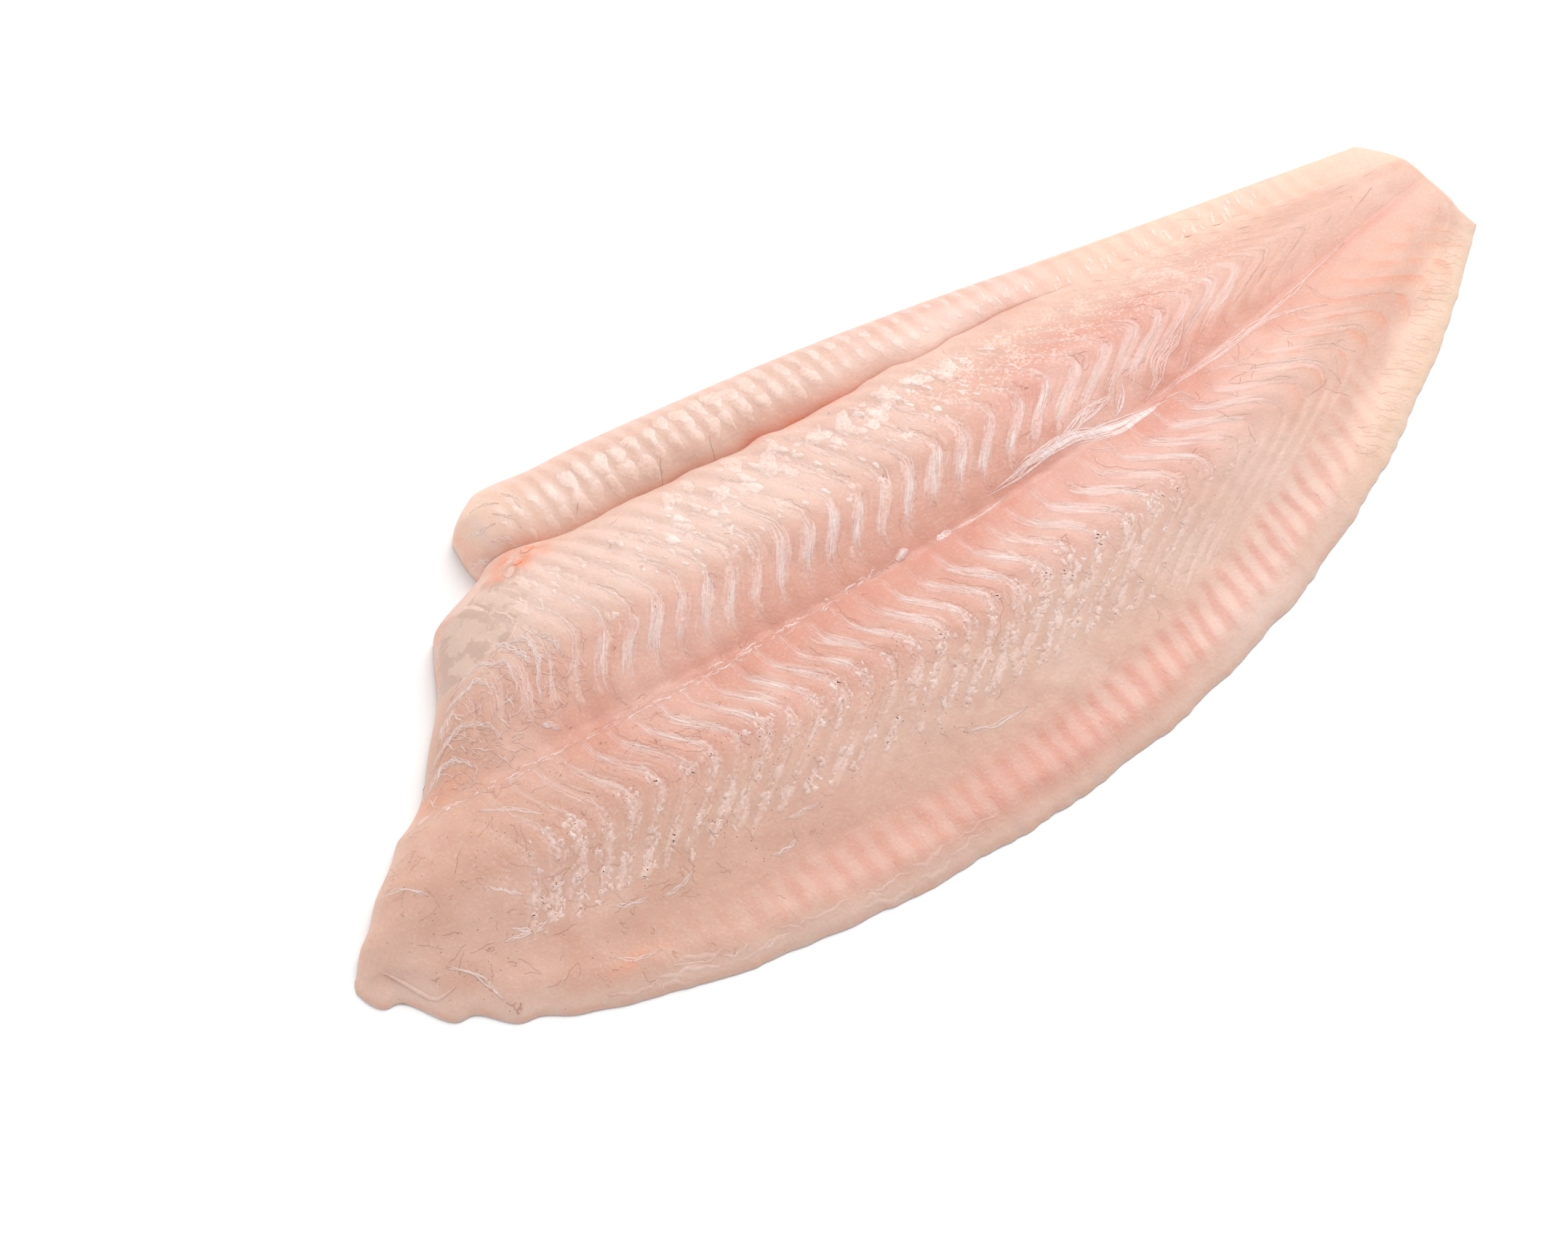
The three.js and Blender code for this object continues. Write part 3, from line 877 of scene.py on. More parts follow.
# ---- The fillet ----
@dataclass
class SoleFillet:
    """The flesh itself: one closed skin over the lobes, the roll and the flat underside.

    A spot is given by its x and y on the fish, its reach along them in mm, and its strength.
    """

    plan: FilletPlan = FilletPlan()
    heights: FilletHeights = FilletHeights()
    seams: FlakeSeams = FlakeSeams()
    lines_along: int = 481
    lower_lines: int = 76
    upper_lines: int = 56
    roll_lines: int = 44
    rosier: Spots = (
        (150, -16, 14, 9, 0.25), (115, 10, 14, 6, 0.2), (30, -28, 10, 8, 0.25), (72, -39, 12, 8, 0.2),
        (130, -18, 16, 7, 0.2), (110, -52, 20, 5, 0.35), (150, 4, 10, 6, 0.2), (105, 13, 14, 5, 0.4),
        (170, 20, 12, 4, 0.25), (190, -12, 10, 5, 0.3), (212, 11, 9, 4, 0.25),
    )
    # Spots of painted shade: the midline valley, the sloped frill and other darker places.
    shade_spots: Spots = (
        (70, -12, 26, 5, 0.9), (95, -20, 30, 7, 0.55), (138, -17, 18, 7, 0.75), (102, -52, 18, 5, 0.8),
        (28, 3, 12, 7, 0.7), (65, -44, 24, 4, 0.3), (105, 12, 14, 4, 0.5), (152, -13, 9, 5, 0.4),
        (90, -43, 14, 4, 0.3),
    )
    # Paler spots, many of them painted highlight, such as the roll's end.
    pale_and_lit_spots: Spots = (
        (136, 19, 16, 5, 0.5), (170, 12, 14, 5, 0.35), (72, 28, 12, 5, 0.5), (57, 32, 7, 7, 0.6),
        (56, 28.5, 4, 3, 0.6), (186, -20, 14, 5, 0.35), (166, -30, 14, 6, 0.5), (150, -50, 10, 5, 0.6),
        (142, 20, 12, 4, 0.3), (8, -22, 7, 8, 0.4),
    )
    blushes: Spots = (
        (60.5, 24.5, 5.5, 3, 0.95), (57.5, 21.6, 4, 2.2, 0.7), (64, 21.8, 4, 1.8, 0.4),
        (27, -2, 5, 2.5, 0.5), (35, -41.6, 5, 1.2, 0.5),
    )
    underside_step: int = 4
    flake_relief: float = 0.16
    bank_relief: float = 0.3
    rib_relief: float = 0.05
    broad_lumps: float = 0.4
    small_lumps: float = 0.22
    glow: float = 0.22
    off_fillet: float = 0.4
    skin: Optional[Array] = None
    shift: Optional[Array] = None
    thin_flesh: Optional[bpy.types.Material] = None

    def stations(self) -> Array:
        """Evenly counted lines along the fish, drawn together at both cuts by a sine."""
        u = np.linspace(0, 1, self.lines_along)
        return mix(self.plan.mid_start, self.plan.length, u - 0.55 * np.sin(2 * np.pi * u) / (2 * np.pi))

    def acrosses(self) -> Array:
        """Lines across the fish, drawn together at the rims and on the groove's banks."""
        lower = -((1 - np.linspace(0, 1, self.lower_lines + 1)) ** 0.9)
        u = np.linspace(0, 1, self.upper_lines + 1)
        upper = self.plan.groove_across * (1 - (1 - u) ** 1.25)
        u = np.linspace(0, 1, self.roll_lines + 1)
        roll = mix(self.plan.groove_across, 1, u - 0.4 * np.sin(2 * np.pi * u) / (2 * np.pi))
        return np.concatenate([lower, upper[1:], roll[1:]])

    def outline(self) -> Array:
        """The closed line of the rim, in mm."""
        return self.plan.outline(self.stations(), self.acrosses())

    def relief(self, x: Array, y: Array, across: Array) -> Array:
        """Low swells in mm: flakes by |sin(pi phase)|, bulges on the bank, ribs on the roll, lumps."""
        swell = np.abs(np.sin(np.pi * self.seams.phase(x, y))) - 0.64
        ribs = np.sin(2 * np.pi * x / RIB_PITCH)
        return sum((
            self.flake_relief * swell * window(across, -0.62, 0.56, 0.1) * window(x, 30, 190, 40),
            self.bank_relief * swell * window(across, 0.42, 0.57, 0.08) * window(x, 62, 165, 20),
            self.rib_relief * ribs * window(across, 0.66, 0.9, 0.1) * window(x, 60, 160, 15),
            self.broad_lumps * (value_noise(x / 9, y / 7, 3) - 0.5),
            self.small_lumps * (value_noise(x / 3.1, y / 3.1, 4) - 0.5),
        ))

    def top(self, x: Array, y: Array, across: Array, from_rim: Array) -> Array:
        """The height of the skin in mm: body and relief, rounded off towards the rim."""
        body = self.heights.body(x, across) + self.relief(x, y, across)
        return self.heights.rounded(body, from_rim, across)

    def build(self) -> Piece:
        """Makes the skin: a fine grid on top, and a coarser one below that shares its rim."""
        stations, acrosses = self.stations(), self.acrosses()
        rows, columns = len(stations), len(acrosses)
        station, across = (part.ravel() for part in np.meshgrid(stations, acrosses, indexing="ij"))
        x, y = self.plan.place(station, across)
        outline = self.outline()
        from_rim = nearest_on_line(x, y, outline)
        z = self.top(x, y, across, from_rim)
        self.skin = z.reshape(rows, columns)
        number = np.arange(rows * columns).reshape(rows, columns)
        on_rim = np.zeros_like(number, bool)
        on_rim[[0, -1]] = on_rim[:, [0, -1]] = True
        z[on_rim.ravel()] = 0

        step = self.underside_step
        below = number.copy()
        inner = ~on_rim[::step, ::step]
        below[::step, ::step][inner] = rows * columns + np.arange(inner.sum())
        faces = grid_quads(rows, columns).tolist()
        for i in range(0, rows - 1, step):
            faces += [self.underside_cell(below, i, j, step) for j in range(0, columns - 1, step)]
        wanted = np.concatenate([number.ravel(), number[::step, ::step][inner]])
        points = np.stack([x, y, z], 1)[wanted]
        points[rows * columns :, 2] = 0
        low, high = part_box("sole_fillet")
        middle = 0.5 * (outline.min(0) + outline.max(0))
        self.shift = np.array([0.5 * (low.x + high.x), 0.5 * (low.y + high.y), 0]) - [*middle * MM, 0]
        thing = make_object("sole_flesh", self.placed(points), faces)
        self.paint_corners(thing, *(part[wanted] for part in (x, y, across, from_rim)))
        set_attribute(thing, "strokes", np.zeros((len(wanted), 3)))
        return thing

    def placed(self, points: Array) -> Array:
        """Points in mm on the fish as points in metres in the object's frame."""
        return points * MM + self.shift

    def surface(self, x: Array, y: Array) -> Array:
        """The height of the built skin under places on the fillet, between its grid's corners.

        Args:
            x: along the fish, in mm.
            y: across the fish, in mm.

        Returns:
            The height in mm.
        """
        lines = self.stations(), self.acrosses()
        places = zip(self.plan.locate(x, y), lines)
        counts = [np.interp(at, line, np.arange(len(line))) for at, line in places]
        (i, u), (j, w) = (self.cell(count, len(line)) for count, line in zip(counts, lines))
        near = mix(self.skin[i, j], self.skin[i + 1, j], u)
        far = mix(self.skin[i, j + 1], self.skin[i + 1, j + 1], u)
        return mix(near, far, w)

    @staticmethod
    def cell(count: Array, lines: int) -> tuple[Array, Array]:
        """The number of the line before a place, and how far past that line the place is."""
        before = np.minimum(count.astype(int), lines - 2)
        return before, count - before

    @staticmethod
    def underside_cell(below: Array, i: int, j: int, step: int) -> list[int]:
        """One face of the underside, which takes in every rim corner that lies along it.

        Args:
            below: the number of the corner at each place of the grid.
            i: the cell's row.
            j: its column.
            step: how many rows and columns it spans.

        Returns:
            Its corners in order: one for each of its sides, or all that lie on a side of the rim.
        """
        rows, columns = below.shape
        head = step if i == 0 else 1
        upper = step if j + step == columns - 1 else 1
        tail = step if i + step == rows - 1 else 1
        lower = step if j == 0 else 1
        sides = (
            below[i, j : j + head],
            below[i : i + upper, j + step],
            below[i + step, j + step - np.arange(tail)],
            below[i + step - np.arange(lower), j],
        )
        return np.concatenate(sides).tolist()

    def paint_corners(
        self,
        thing: Piece,
        x: Array,
        y: Array,
        across: Array,
        from_rim: Array,
        veil: Amount = 0.0,
        torn: Amount = 0.0,
    ) -> None:
        """Keeps the flake count, the tints and the marks at every corner of the mesh.

        Args:
            thing: the piece.
            x: along the fish, in mm.
            y: across the fish, in mm.
            across: from the lower rim at -1 to the upper at 1.
            from_rim: distance from the rim, in mm.
            veil: how much of it is thin grey skin, for one number or each corner.
            torn: how orange torn flesh makes it, likewise.
        """
        t = y - self.plan.midline(x)
        kept = {
            "flakes": (self.seams.phase(x, y), t, self.seams.whiteness(x, y)),
            "tints": self.tints(x, y, t, across, from_rim),
            # The veil channel also takes the grey painted shade beside the groove from film().
            "marks": (veil + self.film(x, across), *self.marks(x, y, across, from_rim)),
            "edges": self.edges(x, y, across, from_rim, torn),
            "tissue": self.tissue(x, y, t),
        }
        for name, values in kept.items():
            set_attribute(thing, name, np.stack(values, 1))

    def tints(self, x: Array, y: Array, t: Array, across: Array, from_rim: Array) -> Trio:
        """Rosiness, paleness (much of it painted highlight) and painted shade: sums of bumps and eased ramps.

        Args:
            x: along the fish, in mm.
            y: across the fish, in mm.
            t: above the midline, in mm.
            across: from the lower rim at -1 to the upper at 1.
            from_rim: distance from the rim, in mm.

        Returns:
            Each tint, from 0 to 1.
        """
        tail_vein = y + 11 - 0.152 * (x - 160)
        rosy = sum((
            0.55 * window(t, -17, 13, 9) * window(x, 45, 178, 35),
            0.3 * hill(t, -2, 5) * window(x, 35, 195, 30),
            0.35 * window(y, -3, 9, 9) * window(x, 130, 190, 30),
            0.35 * window(from_rim, 2, 12, 5) * ease((-y - 30) / 10) * window(x, 62, 140, 30),
            0.3 * window(y, -23, 9, 12) * window(x, 142, 222, 40),
            (0.55 * hill(tail_vein, 0, 0.8) + 0.25 * hill(tail_vein, 0, 4)) * window(x, 158, 228, 14),
            0.5 * hill(across, self.plan.groove_across, 0.05) * window(x, 102, 160, 14),
            self.spots(self.rosier, x, y),
        ))
        roll = ease((across - 0.66) / 0.08)
        # Paleness, mostly painted highlight: on the upper lobe's crest by the groove, on the roll and at the
        # lower rim; also below the midline and at the spots.
        pale = sum((
            0.75 * window(t, 15, 31, 9) * window(x, 45, 112, 30) * (1 - roll),
            0.62 * roll * window(x, 62, 165, 16),
            0.25 * window(-t, 22, 32, 8) * window(x, 70, 170, 40),
            0.6 * hill(from_rim, 0, 3) * self.low_rim(x, y),
            self.spots(self.pale_and_lit_spots, x, y),
        ))
        # Painted shade: darker at the head's lower lobe, towards the head, and at the shade spots.
        painted_shade = sum((
            0.8 * ease((75 - x) / 70) * ease((-y - 2) / 22) * (1 - 0.3 * hill(from_rim, 0, 6)),
            0.2 * ease((90 - x) / 90),
            self.spots(self.shade_spots, x, y),
        ))
        return clamp(rosy), clamp(pale), clamp(painted_shade)

    @staticmethod
    def low_rim(x: Array, y: Array) -> Array:
        """1 low on the fish, where its lower rim is, easing to 0 upwards and at the tail."""
        return ease((-y - 14) / 12) * ease((190 - x) / 30)

    @staticmethod
    def spots(places: Spots, x: Array, y: Array) -> Array:
        """The sum of soft spots, each given by its place, its reach both ways and its strength."""
        return sum(strength * hill(x, px, rx) * hill(y, py, ry) for px, py, rx, ry, strength in places)

    @staticmethod
    def film(x: Array, across: Array) -> Array:
        """Grey painted shade on the roll beside the groove, kept with the thin grey skin."""
        return 0.5 * hill(across, 0.65, 0.035) * window(x, 80, 106, 12)

    def marks(self, x: Array, y: Array, across: Array, from_rim: Array) -> tuple[Array, Array]:
        """Where painted glints lie, and how creamy the flesh is: the tail's frills; painted light at the
        roll's end.
        """
        # Cream on the tail's frills; at the roll's end and along the rim, and partly towards the tail, it is
        # painted light.
        cream = sum((
            0.55 * window(across, 0.55, 1.1, 0.2) * ease((x - 150) / 25),
            0.12 * ease((x - 160) / 35),
            0.65 * window(from_rim, -2, 6.5, 6) * ease((-y - 8) / 8) * ease((x - 165) / 25),
            1.3 * hill(x, 57, 10) * ease((across - 0.62) / 0.1),
            0.3 * hill(from_rim, 0, 2.2),
        ))
        return window(x, 128, 190, 25) * window(y, 3, 14, 6), clamp(cream)

    def edges(self, x: Array, y: Array, across: Array, from_rim: Array, torn: Amount) -> Trio:
        """How strongly the frill is banded, how far along the fish it is, and where it blushes."""
        frill = window(from_rim, 4.2, 11.5, 3) * ease((-y - 14) / 12) * window(x, 50, 185, 50)
        frill = frill * mix(0.6, 1, ease((x - 85) / 45))
        upper = 0.35 * window(from_rim, 1, 9, 3) * ease((y - 5) / 6) * window(x, 128, 215, 20)
        blush = sum((
            0.55 * hill(across, self.plan.groove_across, 0.03) * window(x, 103, 123, 6),
            0.4 * hill(from_rim, 0, 0.8) * self.low_rim(x, y),
            0.4 * hill(from_rim, 0, 1.6) * window(x, 36, 62, 8) * ease((y - 10) / 6),
            self.spots(self.blushes, x, y),
        ))
        return clamp(frill + upper), x - 0.08 * from_rim, clamp(blush + torn)

    def tissue(self, x: Array, y: Array, t: Array) -> Trio:
        """Where crumbly tissue lies, where the tail's chevrons redden, and where dark flecks lie."""
        crumbs = window(-t, 12, 26, 8) * window(x, 26, 150, 20)
        crumbs = crumbs + 0.5 * window(t, 4, 28, 6) * window(x, 45, 160, 25)
        apex = window(-t, 5, 17, 5) * window(x, 178, 224, 20)
        apex = apex + 0.4 * window(t, 3, 12, 4) * window(x, 150, 200, 20)
        flecks = 0.1 + 0.6 * window(x, 8, 105, 24) * window(y, -42, mix(-8, -18, ease((x - 40) / 30)), 8)
        return clamp(crumbs), clamp(apex), flecks

    def dress(self, thing: Piece) -> None:
        """Gives the fillet its flesh, and makes the same flesh for tissue too thin to glow."""
        thing.data.materials.append(MoistFlesh().make("moist_flesh", self.glow))
        self.thin_flesh = MoistFlesh().make("moist_tissue", 0.0)

    def paint_laid(
        self, thing: Piece, points: Array, strokes: Array, veil: Amount = 0.0, torn: Amount = 0.0
    ) -> None:
        """Gives a piece that lies on the flesh the same tints as the flesh under it.

        Args:
            thing: the piece.
            points: its corners in mm on the fish.
            strokes: how white, how brown and how flaky it is at each corner.
            veil: how much of it is thin grey skin.
            torn: how orange torn flesh makes it.
        """
        x, y = points[:, 0], points[:, 1]
        across = self.plan.locate(x, y)[1]
        from_rim = nearest_on_line(x, y, self.outline()[::2])
        self.paint_corners(thing, x, y, across, from_rim, veil, torn)
        set_attribute(thing, "strokes", strokes)
        thing.data.materials.append(self.thin_flesh)

    def holds(self, x: Array, y: Array) -> Array:
        """Whether places lie on the fillet: locate() and place() bring them back to themselves."""
        back = self.plan.place(*self.plan.locate(x, y))
        return np.hypot(back[0] - x, back[1] - y) < self.off_fillet


# ---- Threads, fibres and films that lie on the flesh ----
@dataclass
class Strokes:
    """Many thin tapering strokes of tissue, each a line of places with widths and strengths."""

    lines: Array
    widths: Array
    strength: Array
    faintest: float = 0.06
    least_rise: float = 0.03
    root_depth: float = 0.2

    @classmethod
    def along(cls, lines: Array, width: Array, strength: Array, blunt: float = 0.7) -> "Strokes":
        """Strokes that taper to both ends as sin(pi u)^blunt.

        Args:
            lines: places in mm, shaped (strokes, stations, 2).
            width: the full width of each stroke, in mm.
            strength: how strongly each shows at its middle.
            blunt: the smaller, the blunter the ends.

        Returns:
            The strokes.
        """
        taper = np.sin(np.pi * np.linspace(0.02, 0.98, lines.shape[1])) ** blunt
        return cls(lines, width[:, None] * taper, strength[:, None] * taper**0.5)

    def mesh(self, skin: SoleFillet, rise: float) -> Trio:
        """Each stroke as a closed tube of four corners round: two edges, a crown and a root.

        Args:
            skin: the fillet that they lie on.
            rise: the crown's height over the flesh, as a share of the width.

        Returns:
            The corners in mm, the faces and the strength at each corner.
        """
        places = self.lines.reshape(-1, 2)
        inside = skin.holds(places[:, 0], places[:, 1]).reshape(self.widths.shape).all(1)
        inside &= self.strength.max(1) > self.faintest
        lines, widths, strength = (part[inside] for part in (self.lines, self.widths, self.strength))
        strokes, stations = widths.shape
        ahead = np.gradient(lines, axis=1)
        ahead /= np.maximum(np.linalg.norm(ahead, axis=-1, keepdims=True), 1e-9)
        side = np.stack([-ahead[..., 1], ahead[..., 0]], -1) * widths[..., None] / 2
        ring = np.stack([lines - side, lines, lines + side, lines], 2)
        z = skin.surface(ring[..., 0].ravel(), ring[..., 1].ravel()).reshape(ring.shape[:3])
        z = z + widths[..., None] * [0, rise, 0, 0] + [0, self.least_rise, 0, -self.root_depth]
        points = np.concatenate([ring, z[..., None]], -1).reshape(-1, 3)
        base = (np.arange(strokes)[:, None] * stations + np.arange(stations - 1)).ravel()[:, None] * 4
        k = np.arange(4)
        after = (k + 1) % 4
        sides = np.stack([base + k, base + 4 + k, base + 4 + after, base + after], -1).reshape(-1, 4)
        ends = np.arange(strokes)[:, None] * stations * 4
        caps = np.concatenate([ends + k, ends + (stations - 1) * 4 + k[::-1]])
        shown = (strength[..., None] * [0, 1, 0, 1]).ravel()
        return points, np.concatenate([sides, caps]), shown


def wander(rng: Chance, strokes: int, stations: int, reach: float, turns: float) -> Array:
    """A smooth sideways drift for each stroke: two sines with random phases, at most `reach`."""
    u = np.linspace(0, 1, stations)
    phases = rng.random((2, strokes, 1))
    slow = np.sin(2 * np.pi * (u * turns + phases[0]))
    quick = np.sin(2 * np.pi * (u * turns * 2.7 + phases[1]))
    return reach * (0.65 * slow + 0.35 * quick)


def set_out(x: Array, y: Array, heading: Array, along: Array, bend: Array) -> Array:
    """Lines from places: `along` mm on the heading, and `bend` mm to its left, at each station."""
    way = np.stack([np.cos(heading), np.sin(heading)], -1)[:, None]
    over = way[..., ::-1] * [-1, 1]
    return np.stack([x, y], -1)[:, None] + way * along[..., None] + over * bend[..., None]


def smooth_line(corners: Pairs, stations: int) -> Array:
    """A Catmull-Rom curve through the corners, at evenly counted stations."""
    line = np.array(corners, float)
    padded = np.concatenate([2 * line[:1] - line[1:2], line, 2 * line[-1:] - line[-2:-1]])
    u = np.linspace(0, len(line) - 1, stations)
    i = np.minimum(u.astype(int), len(line) - 2)
    t = (u - i)[:, None]
    a, b, c, d = (padded[i + k] for k in range(4))
    return 0.5 * (2 * b + (c - a) * t + (2 * a - 5 * b + 4 * c - d) * t**2 + (3 * b - a - 3 * c + d) * t**3)


def braid(
    rng: Chance,
    corners: Pairs,
    fibres: int,
    spread: float,
    width: float,
    strength: float,
    turns: float = 0.3,
    loose: float = 0.0,
) -> Strokes:
    """Fibres that run beside one curve, drawn together at its ends and drifting apart between.

    Args:
        rng: where the random amounts come from.
        corners: the curve's corners, in mm.
        fibres: how many fibres there are.
        spread: how far they drift from the curve, in mm.
        width: about how wide each is, in mm.
        strength: how white the whitest is.
        turns: how many times a fibre drifts to and fro for each corner of the curve.
        loose: the greatest share of the curve that a fibre may leave out at either end.

    Returns:
        The fibres.
    """
    curve = smooth_line(corners, CURVE_STEPS)
    ahead = np.gradient(curve, axis=0)
    ahead /= np.linalg.norm(ahead, axis=1, keepdims=True)
    table = np.concatenate([curve, np.stack([-ahead[:, 1], ahead[:, 0]], 1)], 1)
    start, end = rng.uniform(0, loose, (fibres, 1)), 1 - rng.uniform(0, loose, (fibres, 1))
    at = mix(start, end, np.linspace(0, 1, STATIONS_PER_CORNER * len(corners)))
    count = np.arange(CURVE_STEPS)
    place = np.stack([np.interp(at * count[-1], count, column) for column in table.T], -1)
    drift = wander(rng, fibres, at.shape[1], spread, turns * len(corners))
    drift = drift * np.sin(np.pi * clamp(at, 0.04, 0.96)) ** 0.6
    lines = place[..., :2] + place[..., 2:] * drift[..., None]
    widths = rng.uniform(0.6, 1.2, fibres) * width
    return Strokes.along(lines, widths, rng.uniform(0.7, 1, fibres) * strength, 0.4)


class Tissue(Enum):
    """What a stroke shows as on the flesh: which of the three stroke marks it sets."""

    SHEATH = 0
    # Vessels and fin rays, and painted shade in creases.
    VESSEL = 1
    # Flakes of crumbly tissue, and the painted sheen patches.
    FLAKE = 2


def lay(name: str, skin: SoleFillet, kind: Tissue, groups: Sequence[Strokes], rise: float) -> Piece:
    """One piece from groups of strokes, which takes the tints of the flesh that it lies on.

    Args:
        name: the piece's name.
        skin: the fillet that it lies on.
        kind: what the strokes show as.
        groups: the strokes.
        rise: their height over the flesh, as a share of their width.

    Returns:
        The piece, dressed.
    """
    return join_laid(name, skin, kind, [group.mesh(skin, rise) for group in groups])


def join_laid(
    name: str, skin: SoleFillet, kind: Tissue, meshes: Sequence[Trio], veil: Amount = 0.0, torn: Amount = 0.0
) -> Piece:
    """One piece from several meshes' corners, faces and strengths.

    Args:
        name: the piece's name.
        skin: the fillet that it lies on.
        kind: what the meshes show as.
        meshes: corners in mm, faces and strengths of each.
        veil: how much of the piece is thin grey skin.
        torn: how orange torn flesh makes it.

    Returns:
        The piece, dressed.
    """
    points, faces, marks, count = [], [], [], 0
    for corners, quads, strength in meshes:
        points.append(corners)
        faces.append(quads + count)
        marks.append(strength[:, None] * (np.arange(3) == kind.value))
        count += len(corners)
    places = np.concatenate(points)
    thing = make_object(name, skin.placed(places), closed_faces(np.concatenate(faces)))
    skin.paint_laid(thing, places, np.concatenate(marks), veil, torn)
    return thing


def closed_faces(quads: Array) -> list[list[int]]:
    """Quads as lists, with a last corner that repeats the one before it left out."""
    three = quads[:, 2] == quads[:, 3]
    return quads[~three].tolist() + quads[three][:, :3].tolist()


@dataclass
class Blisters:
    """Flat patches, some of painted sheen: closed low discs with a wavy rim, each at a place, with radii and
    a turn.

    A wave of the rim is how often it goes round, and its size.
    """

    places: Array
    long_radius: Array
    short_radius: Array
    turn: Array
    strength: Array
    flare: float = 0.0
    levelled: float = 0.0
    ragged: float = 0.12
    corners: int = 22
    rings: tuple[float, ...] = (1.0, 0.86, 0.45)
    waves: Pairs = ((2, 1.2), (3, 1.0), (5, 0.6), (9, 0.3))
    root_depth: float = 0.25

    def sized(self, least: float) -> "Blisters":
        """The same patches without those whose long radius is under `least` mm."""
        kept = self.long_radius > least
        names = ("places", "long_radius", "short_radius", "turn", "strength")
        return replace(self, **{name: getattr(self, name)[kept] for name in names})

    def mesh(self, skin: SoleFillet, rise: float, rng: Chance) -> Trio:
        """Rings of corners about each place, held inside the outline, with a crown and a root.

        The radius wavers as 1 + ragged (1.2 sin 2a + sin 3a + 0.6 sin 5a + 0.3 sin 9a), and
        one end is made wider by the flare. The rings rise as rise * (1 - r^2)^0.35. Where `levelled`
        is 1, the inner rings keep the height of the flesh at the middle, and not their own.

        Args:
            skin: the fillet that they lie on.
            rise: their height in mm.
            rng: where the random phases come from.

        Returns:
            The corners in mm, the faces and the strength at each corner.
        """
        n, m, r = len(self.places), self.corners, len(self.rings)
        angle, rings = np.linspace(0, 2 * np.pi, m, endpoint=False), np.array(self.rings)
        often, sizes = np.array(self.waves).T[..., None, None]
        phases = 2 * np.pi * rng.random((len(often), n, 1))
        radius = 1 + self.ragged * (sizes * np.sin(often * angle + phases)).sum(0)
        along = (radius * np.cos(angle))[:, None] * self.long_radius[:, None, None] * rings[:, None]
        over = (radius * np.sin(angle) * (1 + self.flare * np.cos(angle)))[:, None]
        over = over * self.short_radius[:, None, None] * rings[:, None]
        c, q = np.cos(self.turn)[:, None, None], np.sin(self.turn)[:, None, None]
        offsets = np.stack([along * c - over * q, along * q + over * c], -1).reshape(n, r * m, 2)
        offsets = np.concatenate([offsets, np.zeros((n, 2, 2))], 1)
        flat = self.places[:, None] + offsets
        flat = np.stack(skin.plan.place(*skin.plan.locate(flat[..., 0], flat[..., 1])), -1)
        domed = rise * np.sqrt(np.maximum(1 - rings**2, 0)) ** 0.7
        lift = np.append(np.repeat(domed, m), (rise, -self.root_depth))
        under = skin.surface(flat[..., 0].ravel(), flat[..., 1].ravel()).reshape(n, -1)
        inner = np.append(np.repeat(ease((1 - rings) / 0.4), m), (1, 0))
        z = mix(under, under[:, -1:], self.levelled * inner) + lift
        points = np.concatenate([flat, z[..., None]], -1)
        k, after = np.arange(m), (np.arange(m) + 1) % m
        bands = [np.stack([k, after, m + after, m + k], 1) + i * m for i in range(r - 1)]
        last, crown, root = (r - 1) * m, np.full(m, r * m), np.full(m, r * m + 1)
        top = np.stack([last + k, last + after, crown, crown], 1)
        faces = np.concatenate([*bands, top, np.stack([after, k, root, root], 1)])
        faces = (faces + (np.arange(n) * (r * m + 2))[:, None, None]).reshape(-1, 4)
        return points.reshape(-1, 3), faces, np.repeat(self.strength, r * m + 2)


